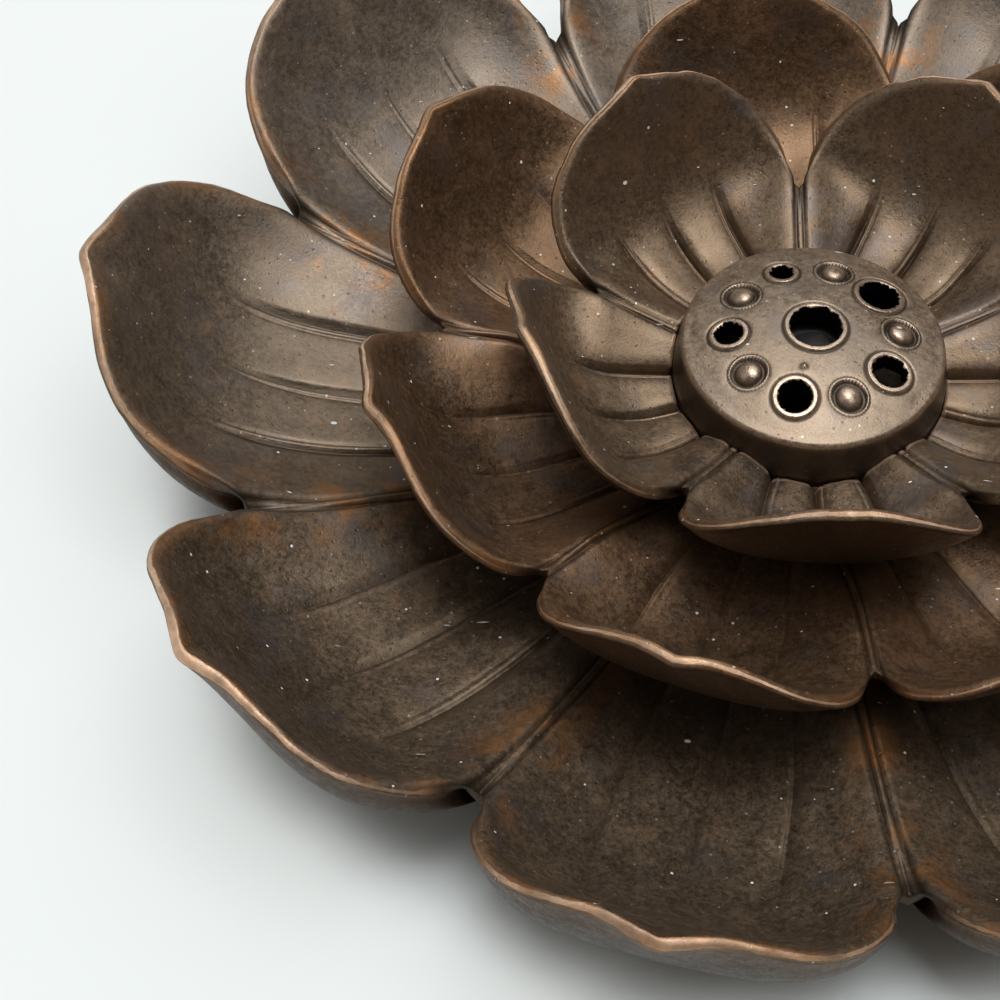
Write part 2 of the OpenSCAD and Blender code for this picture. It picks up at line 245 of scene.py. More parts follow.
@dataclass(frozen=True)
class PetalForm:
    """Sizes of one tier of petals in millimetres, as the cast part has them.

    Attributes:
        count: Number of petals.
        inner_r: Radius at which the petals start.
        bowl_r: Radius from which the floor climbs.
        notch_r: Radius of the notch between two petals.
        shoulder_r: Radius of the petal's broad end, without its point.
        point: Length of the drawn-out point.
        point_w: Half width of the point, as a share of half a petal.
        full: How full the shoulders are.
        close: How the outline closes to the notch.
        climb: How the rim climbs from the notch.
        climb_end: How the rim's climb ends at the midrib.
        floor_z: Height of the floor.
        seam_r: Radius at which the seam's first rise ends.
        seam_rise: Share of the notch's height that the first rise takes.
        notch_rise: Height of the notch above the floor.
        rim_rise: Height of the rim's end above the floor.
        steep: How late and steeply the bowl climbs.
        wall: Thickness of the cast wall.
        pillow: Swell of the face between two veins.
        belly: Extra thickness just below the rim.
        turn: Turn of the tier about the screw, in degrees.
        rim_t: Thickness of the rolled rim.
        tip_lift: How far the point turns up.
    """

    count: int
    inner_r: float
    bowl_r: float
    notch_r: float
    shoulder_r: float
    point: float
    point_w: float
    full: float
    close: float
    climb: float
    climb_end: float
    floor_z: float
    seam_r: float
    seam_rise: float
    notch_rise: float
    rim_rise: float
    steep: float
    wall: float
    pillow: float
    belly: float
    turn: float
    rim_t: float = 1.0
    tip_lift: float = 0.0

    POINT_FORM = 1.45
    POINT_START = 24.0
    SEAM_FORM = 2.2
    TAPER = 12.0
    BELLY_FROM = 0.5
    BELLY_FULL = 0.8
    SECTOR_EASE = 0.4

    def rim_r(self, v: Array) -> Array:
        """Radius of the rim at folded places v, 0 at the midrib and 1 at the seam."""
        return self.lobe_r(v) + self.point * self.tip(v)

    def lobe_r(self, v: Array) -> Array:
        """Radius of the rim at folded places v, without the point."""
        return self.notch_r + (self.shoulder_r - self.notch_r) * (1.0 - v**self.full) ** self.close

    def tip(self, v: Array) -> Array:
        """Share of the point's length at folded places v."""
        return np.exp(-((v / self.point_w) ** self.POINT_FORM))

    def rim_z(self, v: Array) -> Array:
        """Height of the rim at folded places v."""
        lobe = (1.0 - v**self.climb) ** self.climb_end
        return self.floor_z + self.notch_rise + (self.rim_rise - self.notch_rise) * lobe

    def bed_z(self, r: Array, v: Array) -> Array:
        """Height of the petals' bed at radii r and folded places v."""
        near = smooth((r - self.inner_r) / max(0.1, self.seam_r - self.inner_r))
        far = np.clip((r - self.seam_r) / (self.notch_r - self.seam_r), 0.0, 1.0)
        seam = self.notch_rise * (self.seam_rise * near + (1.0 - self.seam_rise) * far)
        return self.floor_z + seam * v**self.SEAM_FORM

    def face(self, u: Array, w: Array) -> Array:
        """Plain inner face of a petal, before veins and seams.

        Args:
            u: Places from 0 at the hub to 1 at the rim.
            w: Places from -1 at one seam over 0 at the midrib to 1 at the next seam.

        Returns:
            Points in millimetres, with the midrib along +X.
        """
        v = np.where(np.abs(w) > 1.0, 2.0 - np.abs(w), np.abs(w))
        r_end = self.lobe_r(v)
        r = self.inner_r + u * (r_end - self.inner_r)
        lift = self.rim_z(v) - self.bed_z(r_end, v)
        bowl = np.clip((r - self.bowl_r) / (r_end - self.bowl_r), 0.0, 1.0) ** self.steep
        z = self.bed_z(r, v) + lift * bowl
        tip = self.tip(v) * np.clip(u, 0.0, 1.0) ** self.POINT_START
        r = r + self.point * tip
        a = w * math.pi / self.count
        return np.stack([r * np.cos(a), r * np.sin(a), z + self.tip_lift * tip], -1)

    def normal(self, u: Array, w: Array) -> Array:
        """Normals of the plain inner face, pointing up and inwards."""
        du, dw = 0.006, 0.012
        along = self.face(u, w) - self.face(u - du, w)
        across = self.face(u, w + dw) - self.face(u, w - dw)
        return unit(np.cross(along, across))

    def thickness(self, u: Array) -> Array:
        """Thickness of the wall at places u."""
        thin = u**self.TAPER
        swell = smooth((u - self.BELLY_FROM) / (self.BELLY_FULL - self.BELLY_FROM))
        return self.wall + (self.rim_t - self.wall) * thin + self.belly * swell * (1.0 - thin)


@dataclass(frozen=True)
class VeinForm:
    """Sizes of the veins and seams of one tier in millimetres.

    Attributes:
        start_r: Radius at which the veins are at their full depth.
        end_r: Radius at which the veins have faded.
        width: Width of a vein over both of its grooves.
        depth: Depth of the grooves.
        lean: How far the side veins lean to the midrib at their outer ends, as a share.
        seam_w: Width of the raised strip between two petals.
        seam_depth: Depth of the grooves beside that strip.
    """

    start_r: float
    end_r: float
    width: float
    depth: float
    lean: float = 0.08
    seam_w: float = 0.5
    seam_depth: float = 0.3

    def fade(self, r: Array) -> Array:
        """Share of its depth that a vein has at radii r."""
        return smooth((self.end_r - r) / (0.45 * (self.end_r - self.start_r)))

    def vein(self, x: Array, crisp: float) -> Array:
        """Height across a vein: a sloped side, a low rib and a fine groove.

        Args:
            x: Distances from its middle.
            crisp: How crisp it came out of the mould, as a share.

        Returns:
            Heights in millimetres, shallower and wider where it is less crisp.
        """
        t = x / (self.width * (1.5 - 0.5 * min(crisp, 1.0)))
        slope = smooth((t + 0.55) / 0.14) * np.clip((t + 0.55) / 0.5, 0.0, 1.0) ** 0.6 * smooth((0.06 - t) / 0.09)
        thin = bell(t - 0.36, 0.08)
        rib = smooth((t - 0.0) / 0.12) * smooth((0.36 - t) / 0.16)
        return crisp * self.depth * (0.4 * rib - slope - 0.4 * min(crisp, 1.0) ** 2 * thin)

    def seam(self, x: Array) -> Array:
        """Height across a seam, at distances x from its middle: a strip between two grooves."""
        groove = bell(np.abs(x) - 0.95 * self.seam_w, 0.42 * self.seam_w)
        return self.seam_depth * (0.35 * bell(x, 0.5 * self.seam_w) - groove)


@dataclass
class PetalTier:
    """One cast tier of petals with its hub.

    Attributes:
        name: Name of the piece.
        node: CAD node that it stands for.
        body: Body that it rides on.
        form: Sizes of the petals.
        veins: Sizes of the veins and seams.
        face_from: Radius at which the petals' upper side is left for the hub.
        hub: Outline from the petals' upper side in to the bore and out along the underside.
        seed: Chooses the casting's unevenness.
        columns_each: Number of columns of points across one petal.
        crispness: How crisp each petal's veins came out of the mould, as a share.
        bosses: Outline of a foot boss, or nothing.
    """

    name: str
    node: str
    body: Body
    form: PetalForm
    veins: VeinForm
    face_from: float
    hub: Profile
    seed: int
    columns_each: int
    crispness: tuple[float, ...]
    bosses: Profile = ()

    FACE_ROWS = 58
    ROLL_ROWS = 7
    BACK_ROWS = 24

    def columns(self) -> Array:
        """Places across one petal, close together at the veins and the seams."""

        def density(w: Array) -> Array:
            lines = sum(bell(w - c, 0.08) for c in (-1.0, -0.5, 0.0, 0.5, 1.0))
            return 1.0 + 4.5 * lines

        return spread(density, -1.0, 1.0, self.columns_each + 1)[:-1]

    def relief(self, r: Array, s: Array, crisp: float) -> tuple[Array, Array]:
        """Height of the veins, seams and swells over the plain face.

        Args:
            r: Radii in millimetres.
            s: Places across the petal before the side veins' lean.
            crisp: How crisp this petal's veins are, as a share.

        Returns:
            Heights in millimetres, and how much of each is a groove, from 0 to 1.
        """
        f, v = self.form, self.veins
        fade = v.fade(r)
        per_share = r * math.pi / f.count
        line = np.zeros_like(r)
        for centre in (-0.5, 0.0, 0.5):
            side = -1.0 if centre > 0 else 1.0
            line = line + v.vein(side * (s - centre) * per_share, crisp) * fade
        to_seam = (1.0 - np.abs(s)) * per_share
        line = line + v.seam(to_seam)
        panel = np.minimum(np.abs(s) % 0.5, 0.5 - np.abs(s) % 0.5) * 4.0
        swell = f.pillow * (1.0 - (1.0 - panel) ** 3.2) * fade
        return line + swell, np.clip(-line / max(v.depth, v.seam_depth), 0.0, 1.0)

    def petal(self, offset: float, crisp: float) -> dict[str, Array]:
        """Points of one petal's columns, with what the finish needs at each of them.

        Args:
            offset: Azimuth of the petal's midrib in radians.
            crisp: How crisp its veins are, as a share.

        Returns:
            Arrays with one row per column and one entry per point of its loop.
        """
        f = self.form
        s = self.columns()[:, None]
        v = np.abs(s)
        r_end = f.rim_r(v)
        t = spread(lambda x: 1.0 + 2.0 * smooth((x - 0.6) / 0.35), 0.0, 1.0, self.FACE_ROWS)[None, :]
        r = self.face_from + t * (r_end - self.face_from)
        lean = self.veins.lean * smooth((r - self.veins.start_r) / (self.veins.end_r - self.veins.start_r))
        w = s - np.sign(s) * lean * np.sin(math.pi * v)
        u = (r - f.inner_r) / (f.rim_r(np.abs(w)) - f.inner_r)
        u = np.where(t >= 1.0, 1.0, np.minimum(u, 1.0))
        height, groove = self.relief(r, np.broadcast_to(s, r.shape), crisp)
        normal = f.normal(u, w)
        face = f.face(u, w) + normal * height[..., None]

        t2 = spread(lambda x: 1.0 + 1.5 * smooth((x - 0.7) / 0.3), 0.0, 1.0, self.BACK_ROWS)[::-1][None, :]
        w2 = np.broadcast_to(s, (len(s), self.BACK_ROWS))
        u2 = np.broadcast_to(t2, w2.shape)
        back = f.face(u2, w2) - f.normal(u2, w2) * f.thickness(u2)[..., None]
        reach = math.pi / f.count * (1.0 - f.SECTOR_EASE * (1.0 - np.abs(w2)))
        a = np.clip(np.arctan2(back[..., 1], back[..., 0]), -reach, reach)
        flat = np.hypot(back[..., 0], back[..., 1])
        z = np.where(u2 <= 0.0, f.floor_z - f.wall, back[..., 2])
        back = np.stack([flat * np.cos(a), flat * np.sin(a), z], -1)

        inner, outer = face[:, -1:], back[:, :1]
        middle = 0.5 * (inner + outer)
        arm = inner - middle
        along = unit(inner - face[:, -4:-3])
        along = unit(along - unit(arm) * np.sum(along * unit(arm), -1, keepdims=True))
        turn = np.linspace(0.0, math.pi, self.ROLL_ROWS + 2)[1:-1][None, :, None]
        size = np.linalg.norm(arm, axis=-1, keepdims=True)
        flat_top = np.sin(turn) ** 0.55
        roll = middle + arm * np.cos(turn) + along * size * 0.62 * flat_top

        loop = np.concatenate([face, roll, back], 1)
        hub = np.asarray(self.hub, float)
        az = (s * math.pi / f.count)[..., None]
        ring = np.concatenate(
            [hub[None, :, :1] * np.cos(az), hub[None, :, :1] * np.sin(az),
             np.broadcast_to(hub[None, :, 1:], (len(s), len(hub), 1))], -1)
        loop = np.concatenate([loop, ring[:, ::-1]], 1)

        crest = self.FACE_ROWS + self.ROLL_ROWS // 2
        steps = np.linalg.norm(np.diff(loop, axis=1), axis=-1)
        run = np.concatenate([np.zeros((len(s), 1)), np.cumsum(steps, 1)], 1)
        from_rim = run - run[:, crest:crest + 1]
        pad = loop.shape[1] - self.FACE_ROWS
        groove_shade = np.concatenate([groove, np.zeros((len(s), pad))], 1)
        # The hub counts as a full groove, so it gets painted shade where it sits between the tiers.
        groove_shade[:, -len(hub):] = 1.0
        panel = np.minimum(v % 0.5, 0.5 - v % 0.5) * 4.0
        end = np.full(from_rim.shape, 9.0)
        end[:, :self.FACE_ROWS] = r - self.face_from - 0.12 * (1.0 - panel) ** 2
        c, q = math.cos(offset), math.sin(offset)
        turned = np.stack([loop[..., 0] * c - loop[..., 1] * q,
                           loop[..., 0] * q + loop[..., 1] * c, loop[..., 2]], -1)
        return {"points": turned, "rim": from_rim, "groove": groove_shade, "end": end,
                "side": np.broadcast_to(v, from_rim.shape)}

    def build(self) -> bpy.types.Object:
        """Model the whole tier as one closed skin.

        Returns:
            The tier's mesh object, with its attributes for the finish.
        """
        f = self.form
        step = 2.0 * math.pi / f.count
        petals = [self.petal(math.radians(f.turn) + k * step, self.crispness[k]) for k in range(f.count)]
        joined = {key: np.concatenate([p[key] for p in petals]) for key in petals[0]}
        loops, size = joined["rim"].shape
        flat = self.cast_unevenness(joined.pop("points"), joined["rim"]).reshape(-1, 3)
        faces = skin_faces(loops, size)
        cast = len(flat)
        for place in self.boss_places():
            more, more_faces = revolve(self.bosses, 48, place)
            faces += [tuple(i + len(flat) for i in q) for q in more_faces]
            flat = np.concatenate([flat, more])
        obj = mesh_object(self.name, flat, faces)
        plain = {"rim": 40.0, "groove": 0.0, "end": 9.0, "side": 0.0}
        for key, values in joined.items():
            set_attribute(obj, key, np.concatenate([values.ravel(), np.full(len(flat) - cast, plain[key])]))
        return obj

    def boss_places(self) -> list[tuple[float, float]]:
        """Places of the foot bosses, where the frame has the rubber pads."""
        if not len(self.bosses):
            return []
        return [pad_place(i) for i in range(PAD_COUNT)]

    def cast_unevenness(self, points: Array, rim: Array) -> Array:
        """Move points a little off their ideal places, as a hand-finished casting has them.

        Args:
            points: The ideal points.
            rim: Distance of each point from the rim's crest.

        Returns:
            The moved points.
        """
        radial = unit(points * np.array([1.0, 1.0, 0.0]))
        near_rim = np.exp(-np.abs(rim) / 2.5)[..., None]
        out = np.hypot(points[..., 0], points[..., 1])[..., None]
        away = smooth((out - self.face_from - 1.0) / 4.0)
        wave = 0.06 * ripple(points, 11.0, self.seed) + 0.025 * ripple(points, 3.6, self.seed + 1)
        edge = 0.09 * ripple(points, 4.5, self.seed + 2) + 0.05 * ripple(points, 1.7, self.seed + 3)
        up = np.array([0.0, 0.0, 1.0])
        return points + away * wave[..., None] * up + near_rim * edge[..., None] * (0.7 * radial + 0.5 * up)


PAD_COUNT = 3


def pad_place(index: int) -> tuple[float, float]:
    """Centre of one rubber pad in millimetres, read from the frame.

    Args:
        index: Number of the pad, from 0.

    Returns:
        x and y of the centre.
    """
    low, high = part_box(f"foot_pad_{index + 1}")
    return 0.5 * (low.x + high.x) / MM, 0.5 * (low.y + high.y) / MM


# --------------------------------------------------------------------------- seed pod


@dataclass
class Opening:
    """A round stick hole through the pod's top, in millimetres.

    Attributes:
        x: Place along X.
        y: Place along Y.
        radius: Radius of the hole.
        seed: Chooses the unevenness of its edge.
    """

    x: float
    y: float
    radius: float
    seed: int

    SIDES = 56

    def edge(self, away: float) -> Array:
        """Points round the hole at a distance from its uneven edge.

        Args:
            away: Distance outside the edge.

        Returns:
            Points in plan, counter-clockwise.
        """
        rng = np.random.default_rng(self.seed)
        a = np.arange(self.SIDES) * 2.0 * math.pi / self.SIDES
        uneven = np.zeros(self.SIDES)
        for order in range(2, 34):
            size = 0.024 / (1.0 + 0.03 * order)
            uneven += size * rng.normal() * np.sin(order * a + rng.uniform(0.0, 2.0 * math.pi))
        r = self.radius - 0.03 + uneven * math.exp(-away / 0.12) + away
        return np.stack([self.x + r * np.cos(a), self.y + r * np.sin(a)], -1)


@dataclass
class SeedPod:
    """The hollow pod that lifts out, with its stick holes and blind seeds, in millimetres.

    Attributes:
        seat_z: Height of its seat.
        radius: Radius of the skirt.
        height: Height from the seat to the crown.
        wall: Thickness of the wall.
        dome_r: Radius of the dome.
        skirt_h: Height of the skirt.
        edge_round: Radius of the rounded top edge.
        draft: How far the side leans in from the skirt to the top.
        ring_r: Radius of the ring of holes and seeds.
        turn: Turn of the pod in degrees.
        centre_d: Diameter of the centre hole.
        ring_d: Diameters of the outer holes, counter-clockwise.
        seed_d: Diameter of a seed.
        lip_h: Height of a hole's lip.
        lip_w: Width of a hole's lip.
        pip: Place of the small casting pip on the top.
        pip_r: Radius of the pip at half its height.
        pip_h: Height of the pip.
    """

    seat_z: float
    radius: float = 11.3
    height: float = 7.0
    wall: float = 1.5
    dome_r: float = 27.0
    skirt_h: float = 2.0
    edge_round: float = 0.6
    draft: float = 0.4
    ring_r: float = 7.05
    turn: float = 253.3
    centre_d: float = 4.4
    ring_d: tuple[float, ...] = (2.9, 3.0, 3.5, 2.05, 2.4)
    seed_d: float = 2.2
    lip_h: float = 0.13
    lip_w: float = 0.4
    pip: tuple[float, float] = (-1.2, -4.15)
    pip_r: float = 0.29
    pip_h: float = 0.3

    SIDE_SEGMENTS = 200
    HOLE_RINGS = (0.0, 0.05, 0.12, 0.22, 0.3, 0.36, 0.42, 0.48, 0.54, 0.61, 0.7, 0.82)
    SEED_RINGS = (0.12, 0.28, 0.44, 0.6, 0.74, 0.86, 0.95, 1.01, 1.05, 1.09, 1.2, 1.32, 1.4, 1.46, 1.52, 1.58,
                  1.65, 1.72, 1.8, 1.92)
    PIP_RINGS = (0.05, 0.12, 0.19, 0.26, 0.34, 0.44, 0.56)
    PLAIN_STEP = 0.42

    def place(self, step: int) -> tuple[float, float]:
        """Place of a hole (even steps) or a seed (odd steps) on the ring."""
        a = math.radians(self.turn + step * 180.0 / len(self.ring_d))
        return self.ring_r * math.cos(a), self.ring_r * math.sin(a)

    def openings(self) -> list[Opening]:
        """The stick holes, centre one first."""
        found = [Opening(0.0, 0.0, self.centre_d / 2, 50)]
        for i, d in enumerate(self.ring_d):
            found.append(Opening(*self.place(2 * i), d / 2, 51 + i))
        return found

    def seeds(self) -> list[tuple[float, float]]:
        """Centres of the blind seeds."""
        return [self.place(2 * i + 1) for i in range(len(self.ring_d))]

    def dome_z(self, r: Array, inset: float = 0.0) -> Array:
        """Height of the dome at radii r, drawn in by inset."""
        return self.seat_z + self.height - inset - self.dome_r + np.sqrt(self.dome_r**2 - r**2)

    def top(self, p: Array) -> tuple[Array, Array, Array]:
        """Shape of the pod's top over its plan.

        Args:
            p: Points in plan.

        Returns:
            Heights, how raised each point is, and how much painted shade each point gets in the moats and seed pits,
            from 0 to 1.
        """
        z = self.dome_z(np.hypot(p[:, 0], p[:, 1]))
        raised, painted_shade = np.zeros(len(p)), np.zeros(len(p))
        for hole in self.openings():
            d = np.hypot(p[:, 0] - hole.x, p[:, 1] - hole.y) - hole.radius
            lip = smooth((d + 0.1) / 0.14) * smooth((self.lip_w + 0.04 - d) / 0.12)
            moat = bell(d - self.lip_w - 0.13, 0.09)
            z = z + self.lip_h * lip - 0.12 * moat
            raised, painted_shade = np.maximum(raised, lip), np.maximum(painted_shade, moat)
        r = self.seed_d / 2
        for x, y in self.seeds():
            d = np.hypot(p[:, 0] - x, p[:, 1] - y)
            bead = np.sqrt(np.clip(1.0 - (d / (r - 0.03)) ** 2, 0.0, 1.0))
            pit = smooth((r + 0.4 - d) / 0.14)
            ring = bell(d - r - 0.46, 0.085)
            moat = bell(d - r - 0.62, 0.08)
            z = z - 0.36 * pit + 0.72 * bead + 0.1 * ring - 0.07 * moat
            raised = np.maximum(raised, np.maximum(bead, 0.8 * ring))
            painted_shade = np.maximum(painted_shade, np.maximum(pit * (1.0 - bead), moat))
        knob = bell(np.hypot(p[:, 0] - self.pip[0], p[:, 1] - self.pip[1]), self.pip_r)
        raised = np.maximum(raised, knob)
        return z + self.pip_h * knob + 0.02 * ripple(np.column_stack([p, z]), 3.0, 61), raised, painted_shade

    def plan(self, rings: bool) -> tuple[Array, list[Quad], list[Array]]:
        """Triangles over the flat of the top, left open at the holes.

        Args:
            rings: Whether points are added round the holes and the seeds for their relief.

        Returns:
            Points in plan, triangles, and the indices of each hole's edge after the outer edge's.
        """
        outer_r = self.flat_r()
        a = np.arange(self.SIDE_SEGMENTS) * 2.0 * math.pi / self.SIDE_SEGMENTS
        loops = [np.stack([outer_r * np.cos(a), outer_r * np.sin(a)], -1)]
        loops += [hole.edge(0.0) for hole in self.openings()]
        points = [p for loop in loops for p in loop]
        edges, bounds, start = [], [], 0
        for loop in loops:
            n = len(loop)
            bounds.append(np.arange(start, start + n))
            edges += [(start + i, start + (i + 1) % n) for i in range(n)]
            start += n
        centres = [(h.x, h.y, h.radius) for h in self.openings()]
        if rings:
            for hole in self.openings():
                points += [p for away in self.HOLE_RINGS[1:] for p in hole.edge(away)]
            circles = [(x, y, rr, max(8, int(46 * rr / 2.0))) for x, y in self.seeds() for rr in self.SEED_RINGS]
            circles += [(*self.pip, rr, 12) for rr in self.PIP_RINGS]
            for x, y, rr, n in circles:
                b = np.arange(n) * 2.0 * math.pi / n
                points += list(np.stack([x + rr * np.cos(b), y + rr * np.sin(b)], -1))
        keep_off = [(x, y, r + (self.HOLE_RINGS[-1] if rings else 0.0)) for x, y, r in centres]
        keep_off += [(x, y, self.SEED_RINGS[-1]) for x, y in self.seeds()] if rings else []
        keep_off += [(*self.pip, self.PIP_RINGS[-1])] if rings else []
        step = self.PLAIN_STEP if rings else 2.5 * self.PLAIN_STEP
        for j in range(int(2 * outer_r / (step * 0.866)) + 1):
            for i in range(int(2 * outer_r / step) + 2):
                q = np.array([-outer_r + (i + 0.5 * (j % 2)) * step, -outer_r + j * step * 0.866])
                clear = all(math.hypot(q[0] - x, q[1] - y) > r + 0.6 * step for x, y, r in keep_off)
                if clear and math.hypot(*q) < outer_r - 0.7 * step:
                    points.append(q)
        used = [Vector((float(p[0]), float(p[1]))) for p in points if math.hypot(p[0], p[1]) < outer_r + 1e-6]
        verts, _, tris, origin, _, _ = delaunay_2d_cdt(used, edges, [], 0, 1e-5)
        flat = np.array([tuple(v) for v in verts])
        back = {old: new for new, olds in enumerate(origin) for old in olds}
        loops_out = [np.array([back[i] for i in bound]) for bound in bounds]
        kept = [tuple(t) for t in tris if self.is_solid(flat[list(t)].mean(0), flat, loops_out[1:])]
        return flat, kept, loops_out

    def is_solid(self, p: Array, flat: Array, holes: list[Array]) -> bool:
        """Whether a place in plan lies on the top and outside every hole's edge."""
        for hole, loop in zip(self.openings(), holes):
            d = p - np.array([hole.x, hole.y])
            if math.hypot(*d) > hole.radius + 0.3:
                continue
            turn = (math.atan2(d[1], d[0]) % (2.0 * math.pi)) / (2.0 * math.pi) * hole.SIDES
            i, share = int(turn) % hole.SIDES, turn % 1.0
            here = flat[loop[i]] * (1.0 - share) + flat[loop[(i + 1) % hole.SIDES]] * share
            if math.hypot(*d) < math.hypot(here[0] - hole.x, here[1] - hole.y):
                return False
        return True

    def flat_r(self) -> float:
        """Radius at which the top's dome ends and its rounded edge starts."""
        return self.radius - self.draft - self.edge_round

    def side(self) -> list[tuple[float, float]]:
        """Outline of the edge, side, skirt and inner wall, from the dome's edge to the inner dome's."""
        turn_r = self.flat_r()
        turn_z = float(self.dome_z(np.array(turn_r))) - self.edge_round
        top_a = math.acos(turn_r / self.dome_r)
        out = []
        for t in np.linspace(0.08, 1.0, 9):
            a = top_a * (1.0 - t)
            out.append((turn_r + self.edge_round * math.cos(a), turn_z + self.edge_round * math.sin(a)))
        foot_z = self.seat_z + self.skirt_h
        for t in np.linspace(0.15, 1.0, 6):
            out.append((out[8][0] + t * (self.radius - out[8][0]), out[8][1] + t * (foot_z - out[8][1])))
        inner = self.radius - self.wall
        out += [(self.radius, self.seat_z + 0.25), (self.radius - 0.2, self.seat_z + 0.02)]
        out += [(inner + 0.2, self.seat_z + 0.02), (inner, self.seat_z + 0.25)]
        out += [(inner, foot_z), (self.flat_r() + 0.5, turn_z - 0.4)]
        return out

    def build(self) -> bpy.types.Object:
        """Model the pod as one closed skin with open stick holes.

        Returns:
            The pod's mesh object, with its attributes for the finish.
        """
        top_p, top_t, top_l = self.plan(True)
        low_p, low_t, low_l = self.plan(False)
        top_z, raised, painted_shade = self.top(top_p)
        low_z = self.dome_z(np.hypot(low_p[:, 0], low_p[:, 1]), self.wall)
        points = [np.column_stack([top_p, top_z]), np.column_stack([low_p, low_z])]
        first_low = len(top_p)
        faces: list[Quad] = list(top_t) + [tuple(reversed([i + first_low for i in t])) for t in low_t]
        outline = self.side()
        first = first_low + len(low_p)
        n = self.SIDE_SEGMENTS
        a = np.arange(n) * 2.0 * math.pi / n
        for r, z in outline:
            points.append(np.column_stack([r * np.cos(a), r * np.sin(a), np.full(n, z)]))
        chain = [top_l[0]] + [first + k * n + np.arange(n) for k in range(len(outline))]
        chain.append(low_l[0] + first_low)
        for upper, lower in zip(chain[:-1], chain[1:]):
            faces += [(upper[i], lower[i], lower[(i + 1) % n], upper[(i + 1) % n]) for i in range(n)]
        count = sum(len(p) for p in points)
        for hole_top, hole_low in zip(top_l[1:], low_l[1:]):
            m = len(hole_top)
            neck = count + np.arange(m)
            points.append(np.column_stack([top_p[hole_top], top_z[hole_top] - 0.12]))
            count += m
            for upper, lower in ((hole_top, neck), (neck, hole_low + first_low)):
                faces += [(upper[i], upper[(i + 1) % m], lower[(i + 1) % m], lower[i]) for i in range(m)]
        everything = np.concatenate(points)
        obj = mesh_object("seed_pod_cast", everything, [tuple(int(i) for i in f) for f in faces])
        rest = np.zeros(len(everything) - len(raised))
        set_attribute(obj, "raised", np.concatenate([raised, rest]))
        # Painted shade: black under the dome and down the stick holes, and deepening down the side from the top edge.
        rest = rest.copy()
        rest[:len(low_p)] = 2.0
        levels = np.clip((np.arange(len(outline)) - 5.0) / 5.0, 0.0, 0.9)
        rest[len(low_p):] = 2.0
        rest[len(low_p):len(low_p) + len(levels) * n] = np.repeat(levels, n)
        set_attribute(obj, "painted_shade", np.concatenate([painted_shade, rest]))
        return obj


# --------------------------------------------------------------------------- fasteners and feet


